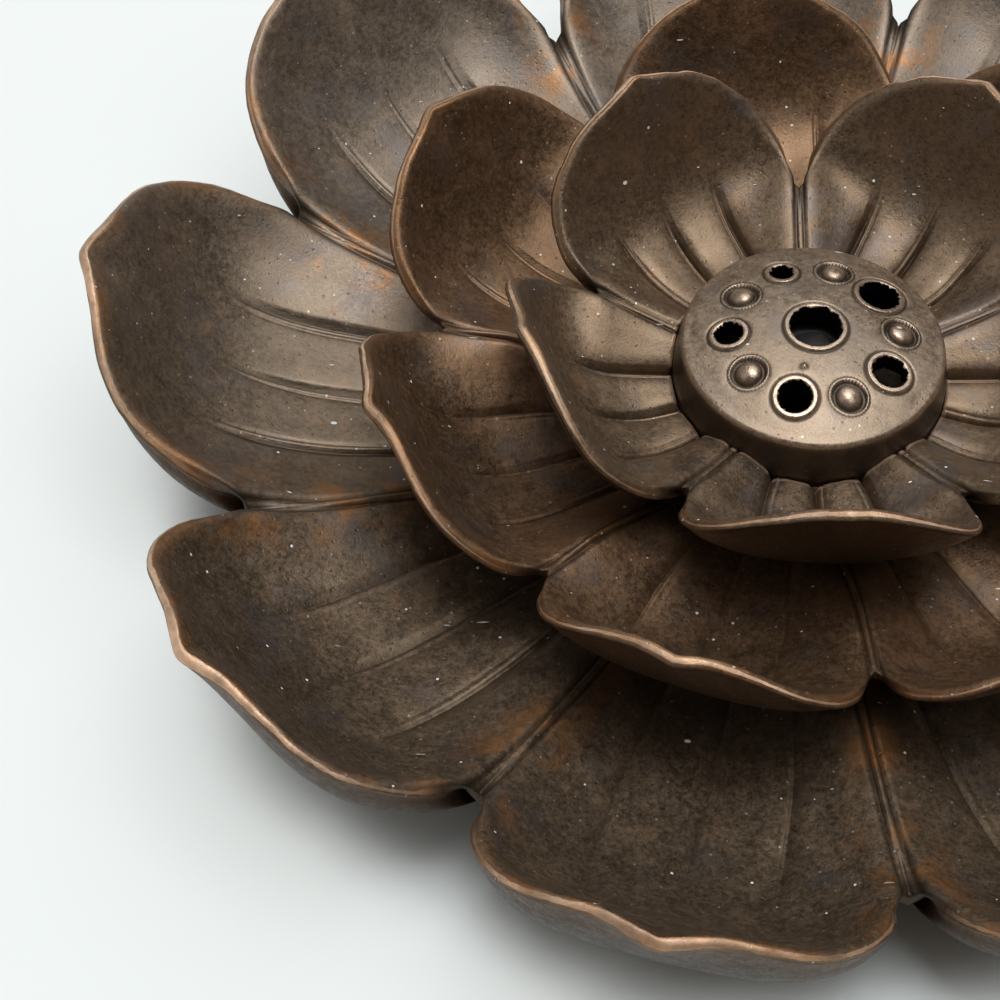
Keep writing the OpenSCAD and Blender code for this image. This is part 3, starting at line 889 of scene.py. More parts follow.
@dataclass
class Stack:
    """The centre screw with what it clamps, the collars and the rubber pads, in millimetres.

    Attributes:
        screw_r: Radius of the screw's shank.
        head_z: Height of the head's underside.
        head_h: Height of the head.
        head_r: Radius of the head.
        top_z: Height of the screw's end.
        thread_z: Height at which the visible thread starts.
        pitch: Pitch of the thread.
        nut_af: Size of the nut across its flats.
        nut_z: Height of the nut's underside.
        nut_h: Height of the nut.
    """

    screw_r: float = 2.0
    head_z: float = 0.6
    head_h: float = 1.9
    head_r: float = 4.0
    top_z: float = 16.7
    thread_z: float = 12.0
    pitch: float = 0.7
    nut_af: float = 7.0
    nut_z: float = 13.1
    nut_h: float = 3.0

    SIDES = 72
    SLOT_HALF = 0.5

    def screw(self) -> bpy.types.Object:
        """Model the slotted screw with its thread.

        Returns:
            The screw's mesh object.
        """
        n = self.SIDES
        a = np.arange(n) * 2.0 * math.pi / n
        rows: list[tuple[Array, Array]] = []

        def ring(r: float, z: float) -> None:
            rows.append((np.full(n, r), np.full(n, z)))

        turns = int((self.top_z - self.thread_z) / self.pitch * 8)
        for k in range(turns + 1):
            z = self.thread_z + (self.top_z - 0.35 - self.thread_z) * k / turns
            phase = (z / self.pitch - a / (2.0 * math.pi)) % 1.0
            tooth = np.abs(2.0 * phase - 1.0)
            rows.append((self.screw_r - 0.34 * tooth, np.full(n, z)))
        ring(self.screw_r - 0.4, self.top_z - 0.05)
        ring(0.5, self.top_z)
        head = [(self.screw_r, self.thread_z - 0.3), (self.screw_r, self.head_z + self.head_h),
                (self.head_r - 0.25, self.head_z + self.head_h), (self.head_r, self.head_z + self.head_h - 0.25),
                (self.head_r, self.head_z + 0.45), (self.head_r - 0.45, self.head_z + 0.05),
                (self.head_r - 0.8, self.head_z)]
        for r, z in head:
            rows.insert(0, (np.full(n, r), np.full(n, z)))
        points = np.concatenate([np.column_stack([r * np.cos(a), r * np.sin(a), z]) for r, z in rows])
        faces: list[Quad] = []
        for k in range(len(rows) - 1):
            faces += [(k * n + i, k * n + (i + 1) % n, (k + 1) * n + (i + 1) % n, (k + 1) * n + i)
                      for i in range(n)]
        faces.append(tuple(range(n))[::-1])
        faces.append(tuple((len(rows) - 1) * n + i for i in range(n)))
        screw = mesh_object("centre_screw_threaded", points, faces)
        cut_slot(screw, 2.0 * self.head_r + 1.0, 2.0 * self.SLOT_HALF, self.head_z + 0.5 * self.head_h)
        return screw

    def nut(self) -> bpy.types.Object:
        """Model the chamfered hexagon nut.

        Returns:
            The nut's mesh object.
        """
        n = 96
        a = np.arange(n) * 2.0 * math.pi / n
        flat = 0.5 * self.nut_af
        hexagon = flat / np.cos((a % (math.pi / 3.0)) - math.pi / 6.0)
        corner = flat / math.cos(math.pi / 6.0)
        low, high = self.nut_z, self.nut_z + self.nut_h
        drop = 0.5
        rows: list[tuple[Array, float]] = [(np.full(n, self.screw_r + 0.25), low), (np.full(n, flat * 0.96), low)]
        for z in (low + 0.2, low + 0.45, low + 0.7, high - 0.7, high - 0.45, high - 0.2):
            edge = min(z - low, high - z)
            cone = flat * 0.96 + (corner - flat * 0.96) * min(1.0, edge / drop)
            rows.append((np.minimum(hexagon, cone), z))
        rows += [(np.full(n, flat * 0.96), high), (np.full(n, self.screw_r + 0.35), high),
                 (np.full(n, self.screw_r), high - 0.35), (np.full(n, self.screw_r), low + 0.25)]
        loop = np.stack([np.stack([r * np.cos(a), r * np.sin(a), np.full(n, z)], -1) for r, z in rows], 1)
        return mesh_object("centre_nut_chamfered", loop[:, ::-1].reshape(-1, 3), skin_faces(n, len(rows)))

    def spring(self) -> bpy.types.Object:
        """Model the split spring washer.

        Returns:
            The washer's mesh object.
        """
        low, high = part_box("spring_washer")
        z0, z1 = low.z / MM, high.z / MM
        outer, inner, n = high.x / MM, self.screw_r + 0.15, 90
        gap = math.radians(8.0)
        a = np.linspace(gap, 2.0 * math.pi - gap, n)[:, None]
        section = np.asarray(rounded([(inner, z1), (outer, z1), (outer, z0), (inner, z0)], 0.16, 3))
        lean = math.radians(9.0) * (section[None, :, 1] - 0.5 * (z0 + z1)) / (z1 - z0)
        b = a + lean
        r = section[None, :, 0]
        points = np.stack([r * np.cos(b), r * np.sin(b), np.broadcast_to(section[None, :, 1], b.shape)], -1)
        m = len(section)
        faces = skin_faces(n, m)[:(n - 1) * m]
        faces += [tuple(range(m))[::-1], tuple((n - 1) * m + i for i in range(m))]
        return mesh_object("spring_washer_split", points.reshape(-1, 3), faces)

    def ring(self, name: str, node: str, bore_r: float, ease: float) -> bpy.types.Object:
        """Model a turned ring in the space of a node.

        Args:
            name: Name of the piece.
            node: CAD node whose space it fills.
            bore_r: Radius of its bore.
            ease: Radius of its eased corners.

        Returns:
            The ring's mesh object.
        """
        low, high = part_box(node)
        r, z0, z1 = high.x / MM, low.z / MM, high.z / MM
        outline = rounded([(bore_r, z1), (r, z1), (r, z0), (bore_r, z0)], ease)
        return mesh_object(name, *revolve(outline, 96))

    def pad(self, index: int) -> bpy.types.Object:
        """Model one moulded rubber pad.

        Args:
            index: Number of the pad, from 0.

        Returns:
            The pad's mesh object.
        """
        low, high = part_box(f"foot_pad_{index + 1}")
        r, z0, z1 = 0.5 * (high.x - low.x) / MM, low.z / MM, high.z / MM
        outline = [(0.01, z1), (r * 0.7, z1), (r - 0.15, z1 - 0.02), (r, z1 - 0.18), (r, z0 + 0.45),
                   (r - 0.12, z0 + 0.18), (r - 0.4, z0 + 0.02), (r - 1.1, z0), (r - 1.5, z0 + 0.18),
                   (0.01, z0 + 0.2)]
        return mesh_object(f"foot_pad_{index + 1}_moulded", *revolve(outline, 64, pad_place(index)))


def cut_slot(obj: bpy.types.Object, length: float, width: float, top_z: float) -> None:
    """Cut a straight slot along X into the underside of an object on the Z axis.

    Args:
        obj: The object to cut.
        length: Length of the slot in millimetres.
        width: Width of the slot.
        top_z: Height at which the slot ends.
    """
    x, y, z = 0.5 * length, 0.5 * width, top_z + 2.0
    corners = np.array([(i * x, j * y, top_z - k * z) for k in (0, 1) for j in (-1, 1) for i in (-1, 1)])
    faces = [(0, 1, 3, 2), (4, 6, 7, 5), (0, 4, 5, 1), (2, 3, 7, 6), (0, 2, 6, 4), (1, 5, 7, 3)]
    cutter = mesh_object("slot_cutter", corners, faces)
    slot = obj.modifiers.new("slot", "BOOLEAN")
    slot.object = cutter
    slot.operation = "DIFFERENCE"
    slot.solver = "EXACT"
    bpy.context.view_layer.update()
    made = bpy.data.meshes.new_from_object(obj.evaluated_get(bpy.context.evaluated_depsgraph_get()))
    obj.modifiers.clear()
    obj.data = made
    bpy.data.objects.remove(cutter)
    made.shade_smooth()
    made.set_sharp_from_angle(angle=math.radians(35.0))


# --------------------------------------------------------------------------- finishes


class Shade:
    """The nodes of one material, with its shader and a few shorthand methods. Sizes are in millimetres."""

    OPEN_AIR = (0.36, 0.66)

    def __init__(self, name: str) -> None:
        """Start a material with one shader."""
        self.material = bpy.data.materials.new(name)
        self.material.use_nodes = True
        self.tree = self.material.node_tree
        self.tree.nodes.clear()
        self.shader = self.tree.nodes.new("ShaderNodeBsdfPrincipled")
        output = self.tree.nodes.new("ShaderNodeOutputMaterial")
        self.tree.links.new(self.shader.outputs[0], output.inputs["Surface"])
        self.place = self.tree.nodes.new("ShaderNodeTexCoord").outputs["Object"]

    def link(self, value: Any, socket: Socket) -> None:
        """Link a socket, or set a number or colour on it.

        Args:
            value: A socket, number or colour.
            socket: The input to feed.
        """
        if isinstance(value, bpy.types.NodeSocket):
            self.tree.links.new(value, socket)
        elif isinstance(value, tuple):
            socket.default_value = (*value, 1.0)
        else:
            socket.default_value = value

    def sum(self, operation: str, a: Any, b: Any = 0.0) -> Socket:
        """One arithmetic step on two numbers."""
        node = self.tree.nodes.new("ShaderNodeMath")
        node.operation = operation
        self.link(a, node.inputs[0])
        self.link(b, node.inputs[1])
        return node.outputs[0]

    def noise(self, size: float, detail: float = 3.0, shift: float = 0.0, roughness: float = 0.5,
              distortion: float = 0.0) -> Socket:
        """Smooth noise between about 0.25 and 0.75.

        Args:
            size: Typical size of its spots.
            detail: Octaves of finer noise.
            shift: Moves the pattern, so that two noises differ.
            roughness: Strength of the finer noise.
            distortion: How far the pattern is drawn out.

        Returns:
            The noise's factor.
        """
        node = self.tree.nodes.new("ShaderNodeTexNoise")
        node.noise_dimensions = "4D"
        self.link(self.place, node.inputs["Vector"])
        node.inputs["W"].default_value = shift
        node.inputs["Scale"].default_value = 1.0 / (size * MM)
        node.inputs["Detail"].default_value = detail
        node.inputs["Roughness"].default_value = roughness
        node.inputs["Distortion"].default_value = distortion
        return node.outputs[0]

    def blend(self, *parts: tuple[Socket, float]) -> Socket:
        """Add several numbers, each times its own weight."""
        total = None
        for value, weight in parts:
            part = self.sum("MULTIPLY", value, weight)
            total = part if total is None else self.sum("ADD", total, part)
        return total

    def along(self, way: tuple[float, float, float]) -> Socket:
        """How far each place lies along a direction fixed to the burner, in metres."""
        node = self.tree.nodes.new("ShaderNodeVectorMath")
        node.operation = "DOT_PRODUCT"
        self.link(self.place, node.inputs[0])
        node.inputs[1].default_value = way
        return node.outputs["Value"]

    def scatter(self, size: float, shift: float, stretch: float = 1.0) -> bpy.types.Node:
        """Scatter points through space.

        Args:
            size: Size of the cell that holds one point.
            shift: Moves the points, in cell sizes.
            stretch: How much longer the cells are along one slanted axis.

        Returns:
            The node, which gives the distance to the nearest point and a colour of its cell.
        """
        place = self.tree.nodes.new("ShaderNodeMapping")
        self.link(self.place, place.inputs["Vector"])
        place.inputs["Location"].default_value = (shift, 0.6 * shift, 0.3 * shift)
        place.inputs["Rotation"].default_value = (0.3 * shift, 0.2, shift)
        k = 1.0 / (size * MM)
        place.inputs["Scale"].default_value = (k / stretch, k, k)
        node = self.tree.nodes.new("ShaderNodeTexVoronoi")
        self.link(place.outputs[0], node.inputs["Vector"])
        node.inputs["Scale"].default_value = 1.0
        return node

    def cells(self, size: float, shift: float = 0.0) -> Socket:
        """Distance to the nearest of many scattered points, in cell sizes."""
        return self.scatter(size, shift).outputs["Distance"]

    def specks(self, size: float, radius: float, stretch: float = 1.0, shift: float = 2.3) -> Socket:
        """A few small specks or fibres of dust.

        Args:
            size: Size of the cells that hold at most one speck each.
            radius: Radius of a speck, in cell sizes.
            stretch: How much longer than wide it is.
            shift: Moves the specks, in cell sizes, and turns them.

        Returns:
            1 in a speck and 0 elsewhere.
        """
        points = self.scatter(size, shift, stretch)
        near = self.step(points.outputs["Distance"], 1.3 * radius, radius)
        chosen = self.step(points.outputs["Color"], 0.5, 0.55)
        return self.sum("MULTIPLY", near, chosen)

    def step(self, value: Socket, low: Any, high: Any, start: float = 0.0, end: float = 1.0) -> Socket:
        """Ease from start to end while value goes from low to high.

        Args:
            value: The number to read.
            low: Where the change starts.
            high: Where it ends.
            start: Result below it.
            end: Result above it.

        Returns:
            The eased number.
        """
        node = self.tree.nodes.new("ShaderNodeMapRange")
        node.interpolation_type = "SMOOTHSTEP"
        for socket, number in zip(node.inputs[:5], (value, low, high, start, end)):
            self.link(number, socket)
        return node.outputs[0]

    def mix(self, factor: Any, a: Any, b: Any, blend: str = "MIX") -> Socket:
        """Mix two colours by a factor."""
        node = self.tree.nodes.new("ShaderNodeMix")
        node.data_type = "RGBA"
        node.blend_type = blend
        self.link(factor, node.inputs[0])
        self.link(a, node.inputs[6])
        self.link(b, node.inputs[7])
        return node.outputs[2]

    def reading(self, name: str) -> Socket:
        """A number stored at the mesh's points."""
        node = self.tree.nodes.new("ShaderNodeAttribute")
        node.attribute_name = name
        return node.outputs["Fac"]

    def bump(self, height: Socket, depth: float) -> None:
        """Give the shader a fine relief.

        Args:
            height: Height, from 0 to 1.
            depth: What a height of 1 means.
        """
        node = self.tree.nodes.new("ShaderNodeBump")
        node.inputs["Strength"].default_value = 1.0
        node.inputs["Distance"].default_value = depth * MM
        self.link(height, node.inputs["Height"])
        self.tree.links.new(node.outputs[0], self.shader.inputs["Normal"])

    def lift(self, share: float, colour: Colour, reach: float) -> None:
        """Show an even pale tone, in part, where nothing stands close over the surface.

        The camera sees it, and so do metal and glass that reflect the surface or show it through.

        Args:
            share: That share in the open, from 0 to 1.
            colour: The pale tone.
            reach: How near something must be to count.
        """
        # Painted shadow in part: the pale tone fades where something stands close, so the floor darkens round the
        # object.
        open_air = self.tree.nodes.new("ShaderNodeAmbientOcclusion")
        open_air.samples = 32
        open_air.inputs["Distance"].default_value = reach * MM
        share = self.step(open_air.outputs["AO"], *self.OPEN_AIR, 0.0, share)
        glow = self.tree.nodes.new("ShaderNodeEmission")
        glow.inputs["Color"].default_value = (*colour, 1.0)
        rays = self.tree.nodes.new("ShaderNodeLightPath").outputs
        seen = self.sum("MAXIMUM", rays["Is Glossy Ray"], rays["Is Transmission Ray"])
        seen = self.sum("MAXIMUM", rays["Is Camera Ray"], seen)
        seen = self.sum("MULTIPLY", seen, self.sum("LESS_THAN", rays["Diffuse Depth"], 0.5))
        both = self.tree.nodes.new("ShaderNodeMixShader")
        self.link(self.sum("MULTIPLY", seen, share), both.inputs[0])
        self.tree.links.new(self.shader.outputs[0], both.inputs[1])
        self.tree.links.new(glow.outputs[0], both.inputs[2])
        output = self.tree.nodes["Material Output"]
        self.tree.links.new(both.outputs[0], output.inputs["Surface"])

    def finish(self, colour: Any, metallic: Any, roughness: Any) -> bpy.types.Material:
        """Feed the shader's main inputs.

        Args:
            colour: Base colour.
            metallic: How metallic it is, from 0 to 1.
            roughness: How dull it is, from 0 to 1.

        Returns:
            The material.
        """
        self.link(colour, self.shader.inputs["Base Color"])
        self.link(metallic, self.shader.inputs["Metallic"])
        self.link(roughness, self.shader.inputs["Roughness"])
        return self.material


@dataclass(frozen=True)
class BronzePatina:
    """Waxed dark bronze, rubbed to copper at the rims, with painted shade in its grooves, notches and outer walls, a
    painted highlight along the petals' inner ends and a painted sheen in its dust film toward the back.

    Attributes:
        name: Name of the material.
        dark: Colour of the patina.
        warm: Colour where it is rubbed thin.
        cool: Colour of its greyer patches.
        dust: Colour of the dust on it.
        film: Share of a thin film of dust; it thickens toward the side that the class's way points to, the burner's
            back, which paints a pale sheen there.
        copper: Colour of bright rims.
        rim_w: Width of the bright rim in millimetres.
        glow_w: Width of the thinned patina inside the rim in millimetres.
        rubbed: How strongly patches of the surface are rubbed thin.
        seam_rub: How strongly the seams between the petals are rubbed thin.
        end_highlight: How strongly a bright line, a painted highlight, is laid along the petals' inner ends.
        shift: Moves the mottling, so that the castings differ.
    """

    name: str
    dark: Colour = (0.205, 0.144, 0.094)
    warm: Colour = (0.30, 0.150, 0.066)
    cool: Colour = (0.148, 0.124, 0.120)
    dust: Colour = (0.80, 0.77, 0.70)
    film: float = 0.0
    copper: Colour = (0.76, 0.49, 0.32)
    rim_w: float = 0.6
    glow_w: float = 1.0
    rubbed: float = 0.55
    seam_rub: float = 0.0
    end_highlight: float = 0.0
    shift: float = 0.0

    PAINTED_SHEEN_WAY: ClassVar[tuple[float, float, float]] = (-0.15, 0.99, 0.0)

    def base(self, shade: Shade) -> tuple[Socket, Socket, Socket, Socket]:
        """Mottled patina with its grain.

        Args:
            shade: The material's nodes.

        Returns:
            Colour, roughness, the grain's height and how metallic it is.
        """
        broad = shade.noise(9.0, 4.0, self.shift, 0.6)
        patch = shade.noise(2.0, 5.0, self.shift + 3.1, 0.7, 0.4)
        grain = shade.noise(0.5, 4.0, self.shift + 5.7, 0.75)
        fine = shade.noise(0.17, 2.0, self.shift + 8.3, 0.7)
        cloud = shade.blend((broad, 0.4), (patch, 0.6))
        tone = shade.step(shade.blend((cloud, 0.38), (grain, 0.42), (fine, 0.2)), 0.36, 0.64)
        colour = shade.mix(tone, tuple(0.56 * c for c in self.dark), tuple(1.38 * c for c in self.dark))
        grey = shade.noise(6.0, 3.0, self.shift + 17.0, 0.6)
        colour = shade.mix(shade.step(grey, 0.52, 0.66, 0.0, 0.55), colour, self.cool)
        rub = shade.step(shade.blend((cloud, 0.82), (grain, 0.3)), 0.6, 0.74, 0.0, self.rubbed)
        colour = shade.mix(rub, colour, self.warm)
        pit = shade.step(shade.cells(0.9), 0.16, 0.07, 0.0, 0.6)
        colour = shade.mix(pit, colour, tuple(0.4 * c for c in self.dark))
        light = shade.step(shade.cells(1.3, 0.7), 0.1, 0.05, 0.0, 0.4)
        fibres = shade.sum("MAXIMUM", shade.specks(1.7, 0.036, 8.0), shade.specks(1.7, 0.036, 8.0, 5.1))
        flecks = shade.sum("MAXIMUM", shade.specks(2.2, 0.05), shade.specks(4.5, 0.034, 1.6, 7.7))
        dust = shade.sum("MAXIMUM", fibres, flecks)
        colour = shade.mix(shade.sum("MAXIMUM", light, dust), colour, self.dust)
        film = shade.step(shade.blend((patch, 0.5), (grain, 0.5)), 0.3, 0.7, 0.6 * self.film, 1.4 * self.film)
        # The film thickens toward the burner's back, which paints a pale sheen there; the rest of it is dust.
        film = shade.sum("MULTIPLY", film, shade.step(shade.along(self.PAINTED_SHEEN_WAY), -0.02, 0.05, 0.3, 2.4))
        colour = shade.mix(film, colour, tuple(0.6 * c for c in self.dust))
        roughness = shade.step(shade.blend((grain, 0.45), (patch, 0.3), (fine, 0.25)), 0.38, 0.62, 0.31, 0.54)
        roughness = shade.sum("ADD", roughness, shade.sum("MULTIPLY", dust, 0.3))
        height = shade.blend((grain, 0.45), (fine, 0.4), (pit, -0.5), (dust, 1.2))
        metallic = shade.sum("SUBTRACT", shade.step(dust, 0.2, 0.8, 0.8, 0.1), film)
        return colour, roughness, height, metallic

    def material(self) -> bpy.types.Material:
        """Make the material of a petal casting, which reads its rim and its grooves.

        Returns:
            The material.
        """
        shade = Shade(self.name)
        colour, roughness, height, metallic = self.base(shade)
        rim, groove = shade.reading("rim"), shade.reading("groove")
        side, end = shade.reading("side"), shade.reading("end")
        seam = shade.sum("MULTIPLY", shade.step(side, 0.72, 0.93), shade.step(rim, -1.5, -4.0))
        seam = shade.sum("MULTIPLY", seam, shade.step(shade.noise(5.0, 4.0, self.shift + 9.0, 0.65), 0.46, 0.62, 0.0, self.seam_rub))
        colour = shade.mix(seam, colour, self.warm)
        # Painted shade: darker in the vein and seam grooves and all over the hub.
        colour = shade.mix(shade.step(groove, 0.15, 0.9, 0.0, 0.72), colour, tuple(0.28 * c for c in self.dark))
        # Painted shade: the outer wall and underside past the rim are darkened, a little warmer just past the rim.
        outside = shade.step(rim, 0.5 * self.rim_w + 0.1, 0.5 * self.rim_w + 0.6)
        outer_wall_shade = shade.mix(shade.step(rim, 1.5, 6.5), tuple(0.2 * c for c in self.warm), tuple(0.26 * c for c in self.dark))
        colour = shade.mix(shade.sum("MULTIPLY", outside, 0.97), colour, outer_wall_shade)
        uneven = shade.noise(1.1, 3.0, self.shift + 11.0, 0.6)
        along = shade.noise(13.0, 2.0, self.shift + 13.0, 0.5)
        off = shade.sum("ABSOLUTE", shade.sum("ADD", rim, 0.1 * self.rim_w))
        off = shade.sum("ADD", off, shade.sum("MULTIPLY", shade.sum("SUBTRACT", uneven, 0.5), 0.8 * self.rim_w))
        edge_w = shade.step(side, 0.45, 0.85, self.rim_w, 0.5 * self.rim_w)
        bright = shade.step(shade.sum("DIVIDE", off, edge_w), 0.6, 0.46)
        glow = shade.step(off, self.glow_w + 0.5 * self.rim_w, 0.4 * self.rim_w)
        glow = shade.sum("MULTIPLY", glow, shade.step(rim, 0.7 * self.rim_w, 0.3 * self.rim_w))
        glow = shade.sum("MULTIPLY", glow, shade.step(side, 0.97, 0.85))
        glow = shade.sum("MULTIPLY", glow, shade.step(shade.noise(6.0, 4.0, self.shift + 15.0, 0.65), 0.4, 0.62, 0.1, 0.75))
        colour = shade.mix(glow, colour, self.warm)
        worn = shade.sum("MULTIPLY", shade.step(along, 0.38, 0.56, 0.45, 1.0), shade.step(side, 0.45, 0.9, 1.0, 0.35))
        worn = shade.sum("MULTIPLY", worn, shade.step(side, 0.95, 0.85))
        # Painted highlight: a bright line along the petals' inner ends, left out at the grooves.
        ends = shade.sum("MULTIPLY", shade.step(end, 0.3, 0.16), shade.step(groove, 0.5, 0.2, 0.0, self.end_highlight))
        bright = shade.sum("MAXIMUM", shade.sum("MULTIPLY", bright, worn), ends)
        tarnish = shade.step(shade.blend((shade.noise(4.0, 4.0, self.shift + 19.0, 0.7), 0.7), (uneven, 0.3)), 0.36, 0.6)
        colour = shade.mix(bright, colour, shade.mix(tarnish, tuple(0.5 * c for c in self.copper), self.copper))
        # Painted shade in the notch where two petals meet, near the rim.
        notch = shade.sum("MULTIPLY", shade.step(side, 0.9, 0.97), shade.step(shade.sum("ABSOLUTE", rim), 3.0, 1.2))
        colour = shade.mix(shade.sum("MULTIPLY", notch, 0.8), colour, tuple(0.25 * c for c in self.dark))
        roughness = shade.sum("ADD", roughness, shade.blend((bright, 0.06), (outside, 0.08), (notch, 0.15)))
        metallic = shade.sum("SUBTRACT", metallic, shade.step(bright, 0.0, 0.8, 0.0, 0.3))
        shade.bump(height, 0.06)
        return shade.finish(colour, metallic, roughness)


@dataclass(frozen=True)
class PodPatina(BronzePatina):
    """The pod's patina, thinner on its lips and seeds, with painted shade in its rings and pits and down its side,
    and black painted shade inside its holes and under its dome.

    Attributes:
        worn: Colour of its worn lips and seeds.
    """

    worn: Colour = (0.50, 0.37, 0.28)

    def material(self) -> bpy.types.Material:
        """Make the pod's material, which reads what is raised and where shade is painted.

        Returns:
            The material.
        """
        shade = Shade(self.name)
        colour, roughness, height, metallic = self.base(shade)
        raised, painted_shade = shade.reading("raised"), shade.reading("painted_shade")
        wear = shade.noise(0.6, 3.0, self.shift + 21.0, 0.6)
        edge = shade.sum("MULTIPLY", shade.step(wear, 0.3, 0.6, 0.35, 1.0), shade.step(raised, 0.2, 0.95, 0.0, 0.7))
        colour = shade.mix(edge, colour, self.worn)
        # Painted shade: darker in the moats, the seed pits and down the side, near black inside the holes and under
        # the dome.
        colour = shade.mix(shade.step(painted_shade, 0.1, 0.9, 0.0, 0.88), colour, tuple(0.16 * c for c in self.dark))
        colour = shade.mix(shade.step(painted_shade, 1.1, 1.7), colour, (0.004, 0.003, 0.003))
        roughness = shade.sum("SUBTRACT", roughness, shade.step(raised, 0.3, 0.9, 0.0, 0.18))
        roughness = shade.sum("ADD", roughness, shade.step(painted_shade, 1.1, 1.7, 0.0, 0.4))
        shade.bump(height, 0.05)
        return shade.finish(colour, metallic, roughness)


@dataclass(frozen=True)
class BlackenedSteelWithShade:
    """Black-oxide steel, dulled, with brown stains, and made darker still as painted shade for the deep holes over
    it.
    """

    name: str
    # Darker than the oxide alone: painted shade for the deep holes above the screw.
    colour: Colour = (0.020, 0.019, 0.018)
    stain: Colour = (0.050, 0.038, 0.030)

    def material(self) -> bpy.types.Material:
        """Make the material.

        Returns:
            The material.
        """
        shade = Shade(self.name)
        haze = shade.noise(2.4, 4.0, 2.0, 0.6)
        fine = shade.noise(0.2, 2.0, 4.0)
        colour = shade.mix(shade.step(haze, 0.4, 0.7, 0.0, 0.8), self.colour, self.stain)
        roughness = shade.step(haze, 0.35, 0.7, 0.42, 0.6)
        shade.bump(fine, 0.02)
        shade.shader.inputs["Specular IOR Level"].default_value = 0.3
        return shade.finish(colour, 0.3, roughness)


@dataclass(frozen=True)
class PadRubber:
    """Matt dark rubber with dust in its surface."""

    name: str
    colour: Colour = (0.022, 0.022, 0.024)
    dust: Colour = (0.09, 0.088, 0.085)

    def material(self) -> bpy.types.Material:
        """Make the material.

        Returns:
            The material.
        """
        shade = Shade(self.name)
        haze = shade.noise(1.6, 4.0, 6.0, 0.65)
        fine = shade.noise(0.15, 2.0, 7.0)
        colour = shade.mix(shade.step(haze, 0.45, 0.75, 0.0, 0.6), self.colour, self.dust)
        shade.bump(fine, 0.03)
        return shade.finish(colour, 0.0, shade.step(haze, 0.3, 0.7, 0.68, 0.88))


# --------------------------------------------------------------------------- studio


@dataclass
class Studio:
    """A pale floor, a dim sky and soft lamps. Lengths are in metres."""

    floor_colour: Colour = (0.80, 0.845, 0.845)
    floor_half: float = 3.0
    floor_glow: float = 0.62
    floor_tone: Colour = (0.93, 0.965, 0.94)
    sky: tuple[float, float] = (0.06, 0.31)
    sky_from: tuple[float, float, float] = (-0.25, 0.8, 0.35)
    lamps: tuple["Lamp", ...] = ()

    def build(self) -> None:
        """Lay the floor and hang the lamps."""
        half = self.floor_half
        corners = np.array([(-half, -half, 0), (half, -half, 0), (half, half, 0), (-half, half, 0)]) / MM
        floor = mesh_object("studio_floor", corners, [(0, 1, 2, 3)])
        shade = Shade("studio_paper")
        grain = shade.noise(40.0, 2.0, 1.0)
        low = tuple(0.99 * c for c in self.floor_colour)
        paper = shade.finish(shade.mix(grain, low, self.floor_colour), 0.0, 0.8)
        shade.lift(self.floor_glow, self.floor_tone, 16.0)
        floor.data.materials.append(paper)
        world = bpy.data.worlds.new("studio_air")
        bpy.context.scene.world = world
        world.use_nodes = True
        tree = world.node_tree
        air = tree.nodes["Background"]
        along = tree.nodes.new("ShaderNodeVectorMath")
        along.operation = "DOT_PRODUCT"
        along.inputs[1].default_value = self.sky_from
        tree.links.new(tree.nodes.new("ShaderNodeTexCoord").outputs["Generated"], along.inputs[0])
        fade = tree.nodes.new("ShaderNodeMapRange")
        for socket, number in zip(fade.inputs[1:5], (-0.9, 0.9, *self.sky)):
            socket.default_value = number
        tree.links.new(along.outputs["Value"], fade.inputs[0])
        tree.links.new(fade.outputs[0], air.inputs["Strength"])
        tint = tree.nodes.new("ShaderNodeMix")
        tint.data_type = "RGBA"
        tint.inputs[6].default_value = (1.0, 0.72, 0.5, 1.0)
        tint.inputs[7].default_value = (0.98, 0.99, 1.0, 1.0)
        share = tree.nodes.new("ShaderNodeMapRange")
        for socket, number in zip(share.inputs[1:3], (-0.9, 0.9)):
            socket.default_value = number
        tree.links.new(along.outputs["Value"], share.inputs[0])
        tree.links.new(share.outputs[0], tint.inputs[0])
        tree.links.new(tint.outputs[2], air.inputs["Color"])
        for lamp in self.lamps:
            lamp.build()


@dataclass(frozen=True)
class Lamp:
    """One soft rectangular lamp that faces the object. Lengths are in metres."""

    name: str
    place: tuple[float, float, float]
    size: tuple[float, float]
    power: float
    tint: Colour = (0.95, 0.985, 1.0)

    def build(self) -> None:
        """Hang the lamp."""
        light = bpy.data.lights.new(self.name, "AREA")
        light.shape = "RECTANGLE"
        light.size, light.size_y = self.size
        light.energy = self.power
        light.color = self.tint
        obj = bpy.data.objects.new(self.name, light)
        bpy.context.scene.collection.objects.link(obj)
        place = Vector(self.place)
        obj.location = place
        obj.rotation_euler = (-place).to_track_quat("-Z", "Y").to_euler()


